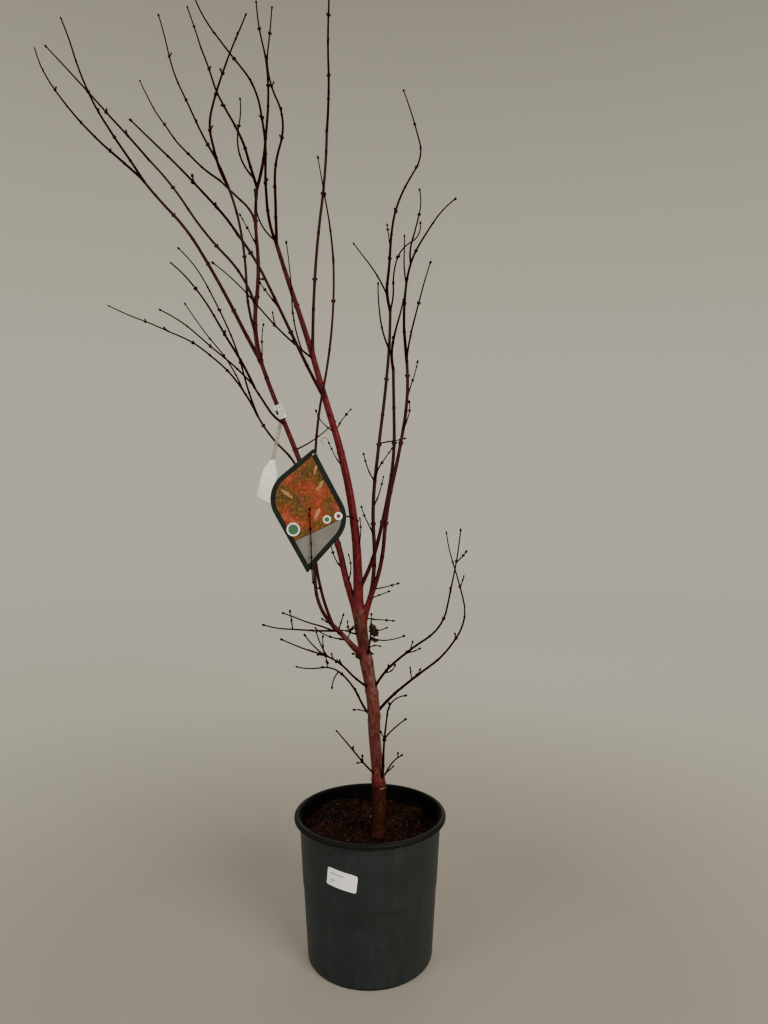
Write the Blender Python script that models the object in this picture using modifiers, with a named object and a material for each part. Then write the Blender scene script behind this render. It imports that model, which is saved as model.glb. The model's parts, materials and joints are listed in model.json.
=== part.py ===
"""A young Japanese maple in its nursery pot, bare in winter, with its hanging tag and labels.

The origin is the middle of the pot's underside, on the ground. X runs to the plant's right, Y away
from its front and Z up, all in metres. Every limb is worked out from one row of habit values: what
carries it, how long and thick it is, and how it leans.
"""

import collections
import math
import random

import bmesh
import bpy
from mathutils import Vector

GAP = 0.0003  # clearance between neighbouring pieces

# Pot: a moulded nursery pot of about seven litres, with a rolled lip
POT_HEIGHT = 0.215
LIP_RADIUS = 0.115
LIP_WIDTH = 0.010
LIP_DEPTH = 0.0075
WALL = 0.0022
BASE_RADIUS = 0.095
BASE_CHAMFER = 0.003
FLOOR = 0.0026
STEP_HEIGHT = 0.113  # a faint ring where the wall steps in
STEP_DEPTH = 0.0008
DRAIN_COUNT = 8
DRAIN_RADIUS = 0.006
DRAIN_CIRCLE = 0.074
POT_SIDES = 64

# Potting mix: it fills the pot to a little below the lip
MIX_TOP = 0.1897
MIX_SWELL = 0.0045
MIX_RINGS = 7

# Trunk: distance along it and girth there, both in metres
FOOT = (0.012, -0.030)
TRUNK_LENGTH = 0.335
TRUNK_LEANS = (3, 0, -7, -1, -10, -10, -8)
TRUNK_AWAY = (4, 1)
TRUNK_GIRTHS = (
    (0.000, 0.0240),  # root flare
    (0.010, 0.0205),
    (0.050, 0.0192),
    (0.080, 0.0208),  # graft union
    (0.096, 0.0176),
    (0.130, 0.0166),
    (0.190, 0.0172),
    (0.236, 0.0176),
    (0.257, 0.0196),  # collar under the lowest bough
    (0.275, 0.0172),
    (0.310, 0.0170),
    (0.335, 0.0154),
)

# One limb's habit: the piece that carries it, how far along that piece it starts (m), its length
# (m), its girth at base and tip (mm), its leans to the right of upright, evenly spaced from base to
# tip (degrees), and how steeply it heads away from the front at base and tip (degrees).
Habit = collections.namedtuple("Habit", "parent at length base tip leans away")

BOUGHS = {
    "bough_centre": Habit("trunk", 0.335, 0.565, 13.5, 6, (1, -4, -11, -17, -16, -19, -17), (-1, -1)),
    "bough_left": Habit("trunk", 0.325, 0.435, 9.8, 6.2, (-24, -12, -30, -22, -23, -19), (12, 4)),
    "bough_left_outer": Habit("bough_left", 0.435, 0.450, 4.6, 3.2,
        (-32, -28, -30, -32, -43, -38), (27, 9)),
    "bough_left_upper": Habit("bough_left", 0.435, 0.300, 5.8, 3.8, (-16, 5, -7, 4), (9, 9)),
    "bough_leader": Habit("bough_centre", 0.390, 0.320, 4.8, 3.8, (1, 4, 8, 1), (-10, -3)),
    "bough_centre_left": Habit("bough_centre", 0.320, 0.260, 3.8, 2.8,
        (-30, -26, -25, -26, -39), (-34, -11)),
    "bough_front": Habit("trunk", 0.265, 0.075, 8.4, 6.6, (-51, -37, -46), (-35, -12)),
    "bough_front_whip": Habit("bough_front", 0.075, 0.525, 4.6, 3.0,
        (-23, -8, 2, 4, 12, 5, -2), (-7, -7)),
    "bough_front_left": Habit("bough_front", 0.070, 0.380, 4.0, 2.6,
        (-52, -5, -11, -8, -47, -28), (23, 8)),
    "bough_right": Habit("trunk", 0.305, 0.050, 8.6, 7.2, (13, 18), (-4, -1)),
    "bough_right_back": Habit("bough_right", 0.050, 0.460, 5.2, 4.0, (11, -4, 6, 7, 5, 0), (9, 9)),
    "bough_right_outer": Habit("bough_right", 0.050, 0.360, 5.2, 3.8, (23, 4, 13, 9, -4), (0, 0)),
    "bough_right_front": Habit("bough_centre", 0.030, 0.335, 5.0, 3.6, (29, 14, 10, -1, -1), (-15, -5)),
    "bough_left_inner": Habit("bough_left_upper", 0.045, 0.225, 3.6, 3.2, (-18, 1, -8, -22), (-20, -7)),
    "bough_left_far": Habit("bough_left_upper", 0.090, 0.280, 3.2, 2.4, (-15, -45, -33, -45), (-9, -3)),
    "bough_left_back": Habit("bough_left_upper", 0.230, 0.125, 3.2, 2.8, (-9, -44, -44), (27, 9)),
    "bough_left_mid": Habit("bough_left", 0.325, 0.075, 3.4, 3.0, (-66, -31, -33), (-43, -14)),
}

# Each mass of twigs grows from one leading stem ...
TWIG_STEMS = {
    "twigs_centre_left_fork": Habit("bough_centre", 0.565, 0.350, 3.6, 1.4,
        (-25, 1, 2, -8, -40, -41, -17), (-23, -8)),
    "twigs_centre_right_fork": Habit("bough_centre", 0.565, 0.385, 3.8, 1.5,
        (0, -5, 16, -26, 4, 4), (5, 5)),
    "twigs_leader": Habit("bough_leader", 0.320, 0.355, 3.6, 1.5, (5, -2, 2, 3, -2), (1, 1)),
    "twigs_centre_left": Habit("bough_centre_left", 0.260, 0.185, 2.6, 1.3,
        (-33, -49, -49, -53, -53), (-39, -39)),
    "twigs_centre_low": Habit("bough_centre", 0.385, 0.200, 2.6, 1.3, (-62, -47, -42, -57), (-44, -15)),
    "twigs_left_outer_a": Habit("bough_left_outer", 0.450, 0.355, 2.8, 1.3,
        (-47, -48, -41, -34, -18), (9, 9)),
    "twigs_left_outer_b": Habit("bough_left_outer", 0.440, 0.285, 2.6, 1.3,
        (-32, -34, -32, -21, -15, -22), (-22, -7)),
    "twigs_left_upper_a": Habit("bough_left_upper", 0.300, 0.380, 3.2, 1.3,
        (-17, -18, -31, -19, -20, -18), (15, 5)),
    "twigs_left_upper_b": Habit("bough_left_upper", 0.300, 0.300, 3.4, 1.3,
        (17, 6, 2, -13, -4), (-4, -4)),
    "twigs_left_inner_a": Habit("bough_left_inner", 0.225, 0.255, 2.9, 1.3,
        (-32, -15, -11, 17, 21, 24, 28, 25), (-9, -9)),
    "twigs_left_inner_b": Habit("bough_left_inner", 0.220, 0.330, 2.6, 1.3,
        (-19, -30, -25, -25, -13, -18), (13, 4)),
    "twigs_left_back": Habit("bough_left_back", 0.125, 0.280, 2.5, 1.2,
        (-52, -44, -35, -31, -23), (15, 15)),
    "twigs_left_far": Habit("bough_left_far", 0.280, 0.205, 2.3, 1.2,
        (-41, -44, -44, -44, -45), (-17, -17)),
    "twigs_left_mid": Habit("bough_left_mid", 0.075, 0.215, 2.8, 1.3,
        (-24, -28, -29, -30, -39, -54), (-19, -19)),
    "twigs_front_left_a": Habit("bough_front_left", 0.380, 0.330, 2.4, 1.2,
        (-26, -39, -52, -66, -67, -64), (8, 8)),
    "twigs_front_left_b": Habit("bough_front_left", 0.375, 0.285, 2.3, 1.2,
        (-21, -12, -23, -28, -47), (-17, -6)),
    "twigs_front_whip": Habit("bough_front_whip", 0.525, 0.135, 2.8, 1.3, (-4, -10, -10), (-8, -8)),
    "twigs_right_back": Habit("bough_right_back", 0.460, 0.400, 3.4, 1.3,
        (-16, 7, 2, 9, 23, 31, -12, -17, -17), (7, 7)),
    "twigs_right_front": Habit("bough_right_front", 0.335, 0.100, 3.0, 1.3, (-14, 9, 18, 11), (-15, -15)),
    "twigs_right_outer": Habit("bough_right_outer", 0.360, 0.260, 3.4, 1.3,
        (-6, -4, 3, 12, 31, 36, 57), (-7, -7)),
    "twigs_low_right_a": Habit("trunk", 0.210, 0.300, 3.0, 1.2, (23, 44, 57, 11, 10, 5), (-18, -6)),
    "twigs_low_right_b": Habit("trunk", 0.175, 0.350, 3.4, 1.2, (38, 55, 56, 36, -10, -19, -4), (17, 6)),
    "twigs_low_left_a": Habit("trunk", 0.215, 0.175, 2.6, 1.2, (-48, -39, -69, -62), (-37, -12)),
    "twigs_low_left_b": Habit("trunk", 0.170, 0.170, 2.6, 1.2, (-52, -28, -50, -103, -77), (33, 11)),
    "twigs_low_upright": Habit("trunk", 0.070, 0.170, 2.6, 1.2, (18, 1, 5, 7, 90), (-20, -7)),
    "twigs_low_left_c": Habit("trunk", 0.085, 0.110, 2.0, 1.2, (-38, -35, -38), (-30, -10)),
    "twigs_low_right_c": Habit("trunk", 0.075, 0.060, 2.0, 1.2, (47, 34, 72), (42, 14)),
    "twigs_front_low": Habit("bough_front", 0.065, 0.120, 2.2, 1.2, (-81, -82, -84, -67), (-42, -14)),
    "twigs_collar_right": Habit("trunk", 0.260, 0.085, 2.4, 1.2, (16, 5, 0), (-36, -12)),
    "twigs_left_low": Habit("bough_left", 0.280, 0.080, 2.2, 1.2, (66, 53, 43), (5, 2)),
}

# ... and some have side shoots, each set along that stem
SIDE_SHOOTS = {
    "twigs_centre_left_fork": (
        Habit("stem", 0.005, 0.080, 2.2, 1.3, (-64, -32, -5, -1), (-42, -14)),
    ),
    "twigs_centre_low": (
        Habit("stem", 0.025, 0.160, 2.0, 1.2, (-20, -1, -10), (-6, -2)),
    ),
    "twigs_left_upper_a": (
        Habit("stem", 0.020, 0.130, 2.2, 1.2, (-50, -14, 15, -7), (-18, -6)),
    ),
    "twigs_left_mid": (
        Habit("stem", 0.005, 0.175, 2.0, 1.2, (-43, -50, -50, -67), (-42, -14)),
    ),
    "twigs_front_left_a": (
        Habit("stem", 0.045, 0.210, 1.8, 1.2, (-25, -41, -33), (28, 9)),
    ),
    "twigs_right_back": (
        Habit("stem", 0.025, 0.125, 2.2, 1.2, (-19, -26, -35, -35), (30, 10)),
        Habit("stem", 0.000, 0.150, 2.2, 1.2, (20, -3, 15, 65, -17), (-20, -7)),
    ),
    "twigs_right_front": (
        Habit("stem", 0.020, 0.110, 2.0, 1.2, (-25, -9, 2), (7, 2)),
    ),
    "twigs_right_outer": (
        Habit("stem", 0.005, 0.145, 2.2, 1.2, (8, 14, 15, 20), (-32, -11)),
        Habit("stem", 0.145, 0.135, 2.2, 1.2, (-8, 16, 13, -12), (23, 8)),
        Habit("stem", 0.115, 0.070, 1.8, 1.2, (-14, 1, -1), (-29, -10)),
    ),
    "twigs_low_left_a": (
        Habit("stem", 0.105, 0.045, 1.6, 1.2, (-50, -32), (-21, -7)),
        Habit("stem", 0.100, 0.045, 1.6, 1.2, (-44, -14), (41, 14)),
    ),
    "twigs_low_left_b": (
        Habit("stem", 0.095, 0.030, 1.6, 1.2, (-136, -183), (-7, -2)),
    ),
    "twigs_low_upright": (
        Habit("stem", 0.085, 0.045, 1.6, 1.2, (39, 57), (0, 0)),
    ),
    "twigs_front_low": (
        Habit("stem", 0.010, 0.080, 1.9, 1.2, (-65, -76, -67, -72), (1, 0)),
    ),
    "twigs_collar_right": (
        Habit("stem", 0.045, 0.055, 1.8, 1.2, (116, 81, 63), (-17, -6)),
        Habit("stem", 0.055, 0.030, 1.6, 1.2, (86, 60), (-36, -12)),
    ),
}

# Spurs: the short side twigs that every shoot of a mass bears at its nodes
SEED = 23
NODE_SPACING = 0.042
SPUR_SHARE = 0.42
SPUR_LENGTH = (0.010, 0.026)
SPUR_GIRTH = (0.0016, 0.0010)
SPUR_ANGLE = 38
TWIG_SPACE = 0.035  # a mass keeps within this distance of its own shoots
TWIG_CLEAR = 0.003  # and this far from every other limb

FINE_STEP = 0.005  # a limb's path is worked out this finely
BOUGH_STEP = 0.022
TWIG_STEP = 0.026
TRUNK_STEP = 0.012
TRUNK_SIDES = 14
BOUGH_SIDES = 8
TWIG_SIDES = 3

# Hanging tag: a leaf-shaped board with two sharp tips and two rounded shoulders
TAG_ON = ("bough_front_whip", 0.254)
TAG_LENGTH = 0.176
TAG_THICKNESS = 0.0010
TAG_RIGHT = (0.1015, 0.0607)  # distance below the top tip, and out to the side
TAG_LEFT = (0.0645, 0.0695)
TAG_SHOULDER = 0.0435
TAG_TIP = 0.0016
TAG_TURN = 2.9
TAG_HOLE = 0.0015
TAG_HOLE_DROP = 0.0085
TAG_FORWARD = 0.0040  # from the whip to the middle of the board
TAG_ASIDE = 0.0019  # from the whip across to the hole
TIE_RADIUS = 0.0062
TIE_BEHIND = 0.0038  # the loop's middle behind the board
TIE_GIRTH = 0.0012

# Stem label: a folded band round the left bough, with its tail hanging from it
BAND_ON = ("bough_left", 0.345)
BAND_LENGTH = 0.023
BAND_WIDTH = 0.0150
BAND_DEPTH = 0.0092
TAIL_THICKNESS = 0.0008
TAIL_NECK_LENGTH = 0.070
TAIL_NECK_WIDTH = 0.006
TAIL_PANEL_LENGTH = 0.066
TAIL_PANEL_WIDTH = 0.024
TAIL_LAP = 0.006
TAIL_TURN = 12

# Pot sticker
STICKER_WIDTH = 0.046
STICKER_HEIGHT = 0.025
STICKER_THICKNESS = 0.0004
STICKER_AROUND = -21.5
STICKER_MIDDLE = 0.158
STICKER_TURN = -8

FINISHES = {
    "pot": (0.020, 0.023, 0.021, 0.55),
    "potting_mix": (0.040, 0.020, 0.014, 0.95),
    "trunk": (0.16, 0.055, 0.035, 0.55),
    "bough": (0.15, 0.030, 0.024, 0.40),
    "twigs": (0.045, 0.012, 0.012, 0.50),
    "hanging_tag": (0.06, 0.08, 0.06, 0.45),
    "tag_tie": (0.35, 0.35, 0.32, 0.50),
    "stem_label": (0.78, 0.77, 0.74, 0.60),
    "stem_label_tail": (0.70, 0.68, 0.65, 0.60),
    "pot_sticker": (0.80, 0.79, 0.76, 0.60),
}


def clear_scene():
    for obj in list(bpy.data.objects):
        bpy.data.objects.remove(obj)


def make_collection(name, parent):
    collection = bpy.data.collections.new(name)
    parent.children.link(collection)
    return collection


def make_material(name, values):
    material = bpy.data.materials.new(name)
    material.use_nodes = True
    shader = material.node_tree.nodes["Principled BSDF"]
    shader.inputs["Base Color"].default_value = (*values[:3], 1.0)
    shader.inputs["Roughness"].default_value = values[3]
    return material


def finish_of(name):
    """The finish whose name the piece's own name starts with, the longest such."""
    return max((key for key in FINISHES if name.startswith(key)), key=len)


def put(name, mesh):
    """A named piece of the plant, in its own material."""
    mesh.name = name
    mesh.materials.clear()
    mesh.materials.append(make_material(name, FINISHES[finish_of(name)]))
    obj = bpy.data.objects.new(name, mesh)
    PLANT.objects.link(obj)
    return obj


def helper(name, mesh):
    """A cutter, or a twig waiting to be joined: never part of the plant by itself."""
    obj = bpy.data.objects.new(name, mesh)
    obj.display_type = "WIRE"
    obj.hide_render = True
    CUTTERS.objects.link(obj)
    return obj


def weld(mesh, distance=2e-6):
    """Welds the seams, drops any loose scrap and turns the faces outward."""
    shell = bmesh.new()
    shell.from_mesh(mesh)
    bmesh.ops.remove_doubles(shell, verts=shell.verts, dist=distance)
    bmesh.ops.dissolve_degenerate(shell, edges=shell.edges, dist=distance)
    shell.verts.ensure_lookup_table()
    left = set(shell.verts)
    bodies = []
    while left:
        body = {left.pop()}
        edge_of_body = list(body)
        while edge_of_body:
            vertex = edge_of_body.pop()
            for edge in vertex.link_edges:
                other = edge.other_vert(vertex)
                if other in left:
                    left.discard(other)
                    body.add(other)
                    edge_of_body.append(other)
        bodies.append(body)
    largest = max(bodies, key=len)
    scraps = [vertex for vertex in shell.verts if vertex not in largest]
    bmesh.ops.delete(shell, geom=scraps, context="VERTS")
    bmesh.ops.recalc_face_normals(shell, faces=shell.faces)
    if shell.calc_volume(signed=True) < 0:
        bmesh.ops.reverse_faces(shell, faces=shell.faces)
    shell.to_mesh(mesh)
    shell.free()
    return mesh


def shaped(obj):
    """The mesh that an object's modifiers leave, in world coordinates."""
    bpy.context.view_layer.update()
    graph = bpy.context.evaluated_depsgraph_get()
    mesh = bpy.data.meshes.new_from_object(obj.evaluated_get(graph), depsgraph=graph)
    mesh.transform(obj.matrix_world)
    return mesh


def remove(objects):
    for obj in list(objects):
        bpy.data.objects.remove(obj)


def is_closed(mesh):
    shell = bmesh.new()
    shell.from_mesh(mesh)
    closed = all(len(edge.link_faces) == 2 for edge in shell.edges)
    shell.free()
    return closed


def combine(base, others, operation, solvers=("EXACT", "MANIFOLD")):
    """The mesh of one Boolean between a base mesh and a group of others, by the first solver
    and weld that leave it closed."""
    body = helper("body", base)
    group = make_collection("group", CUTTERS)
    for number, mesh in enumerate(others):
        member = bpy.data.objects.new("member_%d" % number, mesh)
        group.objects.link(member)
    joint = body.modifiers.new("joint", "BOOLEAN")
    joint.operation = operation
    joint.operand_type = "COLLECTION"
    joint.collection = group
    for solver in solvers:
        joint.solver = solver
        tries = [weld(shaped(body), distance) for distance in (2e-6, 5e-7)]
        closed = [mesh for mesh in tries if is_closed(mesh)]
        if closed:
            break
    remove(group.objects)
    bpy.data.collections.remove(group)
    remove([body])
    return closed[0]


# Paths and tubes


def between(values, share):
    """The value at this share of an evenly spaced list, in straight steps."""
    place = share * (len(values) - 1)
    index = min(int(place), len(values) - 2)
    return values[index] + (values[index + 1] - values[index]) * (place - index)


def heading(leans, away, share):
    lean = math.radians(between(leans, share))
    back = math.radians(between(away, share))
    level = math.cos(back)
    return Vector((math.sin(lean) * level, math.sin(back), math.cos(lean) * level))


def grow(start, length, leans, away):
    """A limb's path in fine even steps from its base to its tip."""
    count = max(4, round(length / FINE_STEP))
    path = [Vector(start)]
    for step in range(count):
        path.append(path[-1] + heading(leans, away, (step + 0.5) / count) * (length / count))
    return path


class Limb:
    """A limb's path and girths, and the tube that it makes."""

    def __init__(self, path, length, girths, step, sides):
        self.path = path
        self.length = length
        self.girths = girths
        self.sides = sides
        count = max(2, round(length / step))
        self.shares = [number / count for number in range(count + 1)]

    def point(self, distance):
        return between(self.path, min(max(distance / self.length, 0.0), 1.0))

    def radius(self, share):
        distance = share * self.length
        for (here, thick), (there, thin) in zip(self.girths, self.girths[1:]):
            if distance <= there or (there, thin) == self.girths[-1]:
                part = min(max((distance - here) / (there - here), 0.0), 1.0)
                return (thick + (thin - thick) * part) / 2

    def tube(self, swell=0.0):
        """The limb as a closed tube, or swollen on every side to cut a neighbour clear of it."""
        points = [between(self.path, share) for share in self.shares]
        radii = [self.radius(share) + swell for share in self.shares]
        points[-1] = points[-1] + (points[-1] - points[-2]).normalized() * swell
        return tube(points, radii, self.sides)


def ring_of(sides):
    """A hidden circle of this many corners, which a tube is drawn along its path with."""
    name = "ring_%d" % sides
    if name not in bpy.data.objects:
        curve = bpy.data.curves.new(name, "CURVE")
        spline = curve.splines.new("POLY")
        spline.points.add(sides - 1)
        for number, corner in enumerate(spline.points):
            angle = 2 * math.pi * number / sides
            corner.co = (math.cos(angle), math.sin(angle), 0.0, 1.0)
        spline.use_cyclic_u = True
        ring = bpy.data.objects.new(name, curve)
        ring.hide_render = True
        CUTTERS.objects.link(ring)
    return bpy.data.objects[name]


def tube(points, radii, sides, closed=False):
    curve = bpy.data.curves.new("path", "CURVE")
    curve.dimensions = "3D"
    curve.twist_mode = "MINIMUM"
    curve.bevel_mode = "OBJECT"
    curve.bevel_object = ring_of(sides)
    curve.use_fill_caps = not closed
    spline = curve.splines.new("POLY")
    spline.points.add(len(points) - 1)
    for corner, place, radius in zip(spline.points, points, radii):
        corner.co = (*place, 1.0)
        corner.radius = radius
    spline.use_cyclic_u = closed
    obj = bpy.data.objects.new("path", curve)
    CUTTERS.objects.link(obj)
    mesh = shaped(obj)
    remove([obj])
    return weld(mesh)


def nearest(limb, other):
    """The least clearance between two limbs' surfaces, from fine points along each."""
    least = math.inf
    for index, point in enumerate(limb.path):
        radius = limb.radius(index / (len(limb.path) - 1))
        for number, place in enumerate(other.path):
            span = (point - place).length
            if span - radius < least + 0.02:
                clear = span - radius - other.radius(number / (len(other.path) - 1))
                least = min(least, clear)
    return least


# Pot and mix


def wall_radius(height):
    """The pot's outer radius at a height, which steps in below the faint ring."""
    slope = (LIP_RADIUS - LIP_WIDTH + WALL - BASE_RADIUS) / POT_HEIGHT
    return BASE_RADIUS + slope * height - (STEP_DEPTH if height < STEP_HEIGHT else 0.0)


def turned(profile, sides):
    """A solid turned about the pot's axis from a profile of radius and height."""
    mesh = bpy.data.meshes.new("profile")
    points = [(radius, 0.0, height) for radius, height in profile]
    mesh.from_pydata(points, [(n, n + 1) for n in range(len(points) - 1)], [])
    obj = helper("profile", mesh)
    lathe = obj.modifiers.new("lathe", "SCREW")
    lathe.angle = 2 * math.pi
    lathe.steps = sides
    lathe.render_steps = sides
    lathe.use_merge_vertices = True
    lathe.merge_threshold = 0.00005
    solid = shaped(obj)
    remove([obj])
    return weld(solid)


def cylinder(radius, height, middle):
    shell = bmesh.new()
    bmesh.ops.create_cone(
        shell, cap_ends=True, segments=20, radius1=radius, radius2=radius, depth=height
    )
    mesh = bpy.data.meshes.new("cylinder")
    shell.to_mesh(mesh)
    shell.free()
    for vertex in mesh.vertices:
        vertex.co += Vector(middle)
    return mesh


def build_pot():
    mouth = LIP_RADIUS - LIP_WIDTH
    inner = BASE_RADIUS - STEP_DEPTH - WALL
    skirt = LIP_RADIUS - WALL
    under = POT_HEIGHT - WALL
    profile = [
        (0.0, FLOOR),
        (inner, FLOOR),
        (mouth, POT_HEIGHT),
        (LIP_RADIUS - 0.0008, POT_HEIGHT),
        (LIP_RADIUS, POT_HEIGHT - 0.0008),
        (LIP_RADIUS, POT_HEIGHT - LIP_DEPTH),
        (skirt, POT_HEIGHT - LIP_DEPTH),
        (skirt, under),
        (wall_radius(under), under),
        (wall_radius(STEP_HEIGHT), STEP_HEIGHT),
        (wall_radius(STEP_HEIGHT) - STEP_DEPTH, STEP_HEIGHT - 0.0012),
        (wall_radius(BASE_CHAMFER), BASE_CHAMFER),
        (wall_radius(0.0) - BASE_CHAMFER, 0.0),
        (0.0, 0.0),
    ]
    drains = []
    for number in range(DRAIN_COUNT):
        angle = 2 * math.pi * (number + 0.5) / DRAIN_COUNT
        middle = (DRAIN_CIRCLE * math.cos(angle), DRAIN_CIRCLE * math.sin(angle), FLOOR / 2)
        drains.append(cylinder(DRAIN_RADIUS, 3 * FLOOR, middle))
    put("pot", combine(turned(profile, POT_SIDES), drains, "DIFFERENCE"))


def build_mix():
    """The mix: a plug with an uneven top, which is level where the trunk stands."""
    mouth = LIP_RADIUS - LIP_WIDTH
    inner = BASE_RADIUS - STEP_DEPTH - WALL
    slope = (mouth - inner) / (POT_HEIGHT - FLOOR)
    rim = inner + slope * (MIX_TOP - FLOOR) - GAP - 0.0004
    profile = [(rim * ring / MIX_RINGS, MIX_TOP) for ring in range(MIX_RINGS + 1)]
    profile += [(inner + slope * GAP - GAP - 0.0004, FLOOR + GAP), (0.0, FLOOR + GAP)]
    mesh = turned(profile, 40)
    for vertex in mesh.vertices:
        x, y, z = vertex.co
        away = math.hypot(x - FOOT[0], y - FOOT[1])
        edge = min(1.0, (rim - math.hypot(x, y)) / 0.012)
        if z < MIX_TOP - 1e-5 or away < 0.030 or edge <= 0.0:
            continue
        rise = math.sin(47 * x + 1.1) * math.cos(39 * y + 0.4) + 0.8 * math.sin(83 * (x - y))
        rise += 0.9 * (y - x) / rim
        vertex.co.z += MIX_SWELL * rise * min(1.0, (away - 0.030) / 0.02) * max(edge, 0.0)
    put("potting_mix", mesh)


# Limbs


def build_trunk():
    start = (FOOT[0], FOOT[1], MIX_TOP + GAP)
    path = grow(start, TRUNK_LENGTH, TRUNK_LEANS, TRUNK_AWAY)
    trunk = Limb(path, TRUNK_LENGTH, TRUNK_GIRTHS, TRUNK_STEP, TRUNK_SIDES)
    # The foot is drawn a little deeper, then sawn level with the mix.
    points = [between(path, share) for share in trunk.shares]
    radii = [trunk.radius(share) for share in trunk.shares]
    points.insert(0, points[0] - (points[1] - points[0]).normalized() * 0.004)
    radii.insert(0, radii[0])
    saw = cylinder(0.05, 0.04, (FOOT[0], FOOT[1], MIX_TOP + GAP - 0.02))
    put("trunk", combine(tube(points, radii, TRUNK_SIDES), [saw], "DIFFERENCE"))
    return trunk


def limb_of(habit, parent, step, sides):
    start = parent.point(habit.at)
    path = grow(start, habit.length, habit.leans, habit.away)
    girths = ((0.0, habit.base / 1000), (habit.length, habit.tip / 1000))
    return Limb(path, habit.length, girths, step, sides)


def cut_clear(mesh, limb, limbs):
    """Cuts a piece back from each limb that its own limb touches."""
    near = [other for other in limbs if nearest(limb, other) < 2 * GAP]
    for other in near:
        mesh = combine(mesh, [other.tube(GAP)], "DIFFERENCE")
    return mesh


def build_boughs(limbs):
    for name, habit in BOUGHS.items():
        limb = limb_of(habit, limbs[habit.parent], BOUGH_STEP, BOUGH_SIDES)
        put(name, cut_clear(limb.tube(), limb, limbs.values()))
        limbs[name] = limb


# Masses of twigs


def spur(shoot, distance, number, chance):
    """A short twig at a node, set a quarter turn on from the node before and curving upward."""
    start = shoot.point(distance)
    along = (shoot.point(distance + 0.004) - shoot.point(distance - 0.004)).normalized()
    side = along.cross(Vector((0.0, 1.0, 0.0))).normalized()
    across = along.cross(side)
    turn = math.radians(90 * number + chance.uniform(-25, 25))
    out = side * math.cos(turn) + across * math.sin(turn)
    angle = math.radians(SPUR_ANGLE + chance.uniform(-8, 8))
    ahead = along * math.cos(angle) + out * math.sin(angle)
    length = chance.uniform(*SPUR_LENGTH)
    path = [start]
    for step in range(4):
        ahead = (ahead + Vector((0.0, 0.0, 0.12))).normalized()
        path.append(path[-1] + ahead * (length / 4))
    girths = ((0.0, SPUR_GIRTH[0]), (length, SPUR_GIRTH[1]))
    return Limb(path, length, girths, length / 2, TWIG_SIDES)


def keeps_space(twig, own, strangers):
    """Whether a twig stays in its mass's space and clear of all else."""
    for index, point in enumerate(twig.path[1:]):
        if min((point - place).length for limb in own for place in limb.path) > TWIG_SPACE:
            return False
        for limb in strangers:
            for number, place in enumerate(limb.path):
                if (point - place).length < TWIG_CLEAR + 0.0022 + limb.radius(
                    number / (len(limb.path) - 1)
                ):
                    return False
    return True


def spurs_of(shoots, strangers, chance):
    """The spurs of one mass: those that keep its space and miss each other."""
    kept = []
    for shoot in shoots:
        count = int(shoot.length / NODE_SPACING)
        for number in range(1, count):
            distance = NODE_SPACING * (number + chance.uniform(-0.15, 0.15))
            twig = spur(shoot, distance, number, chance)
            if chance.random() > SPUR_SHARE:
                continue
            others = [limb for limb in shoots + kept if limb is not shoot]
            if keeps_space(twig, shoots, strangers + others):
                kept.append(twig)
    return kept


def build_masses(limbs):
    masses = {}
    for name, habit in TWIG_STEMS.items():
        stem = limb_of(habit, limbs[habit.parent], TWIG_STEP, TWIG_SIDES)
        shoots = [stem]
        for side in SIDE_SHOOTS.get(name, ()):
            shoots.append(limb_of(side, stem, TWIG_STEP, TWIG_SIDES))
        masses[name] = shoots
    chance = random.Random(SEED)
    done = dict(limbs)
    for name, shoots in masses.items():
        strangers = list(limbs.values())
        for other, theirs in masses.items():
            strangers += theirs if other != name else []
        twigs = spurs_of(shoots, strangers, chance)
        members = [limb.tube() for limb in shoots[1:] + twigs]
        mesh = shoots[0].tube()
        if members:
            mesh = combine(mesh, members, "UNION", ("MANIFOLD", "EXACT"))
        for limb in shoots:
            mesh = cut_clear(mesh, limb, done.values())
        put(name, mesh)
        for number, limb in enumerate(shoots):
            done["%s_%d" % (name, number)] = limb


# Tag, tie and labels


def slab(outline, thickness):
    """A flat board, facing the front, from an outline of (across, up) corners."""
    shell = bmesh.new()
    front = [shell.verts.new((x, -thickness / 2, z)) for x, z in outline]
    face = shell.faces.new(front)
    out = bmesh.ops.extrude_face_region(shell, geom=[face])
    moved = [item for item in out["geom"] if isinstance(item, bmesh.types.BMVert)]
    bmesh.ops.translate(shell, verts=moved, vec=(0.0, thickness, 0.0))
    mesh = bpy.data.meshes.new("slab")
    shell.to_mesh(mesh)
    shell.free()
    return weld(mesh)


def rounded(corners, radii, steps):
    """An outline with each corner rounded to its radius."""
    outline = []
    for index, corner in enumerate(corners):
        here = Vector(corner)
        back = (Vector(corners[index - 1]) - here).normalized()
        ahead = (Vector(corners[(index + 1) % len(corners)]) - here).normalized()
        half = math.acos(back.dot(ahead)) / 2
        middle = here + (back + ahead).normalized() * (radii[index] / math.sin(half))
        reach = radii[index] / math.tan(half)
        first = here + back * reach - middle
        last = here + ahead * reach - middle
        sweep = first.angle_signed(last)
        for step in range(steps[index] + 1):
            angle = -sweep * step / steps[index]
            turn = (math.cos(angle), math.sin(angle))
            outline.append(
                (
                    middle.x + first.x * turn[0] - first.y * turn[1],
                    middle.y + first.x * turn[1] + first.y * turn[0],
                )
            )
    return outline


def turned_flat(mesh, degrees, place):
    """Turns a board in its own plane about its top, and sets that top at a place."""
    angle = math.radians(degrees)
    for vertex in mesh.vertices:
        x, y, z = vertex.co
        vertex.co = (
            place.x + x * math.cos(angle) - z * math.sin(angle),
            place.y + y,
            place.z + x * math.sin(angle) + z * math.cos(angle),
        )
    return mesh


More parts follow.
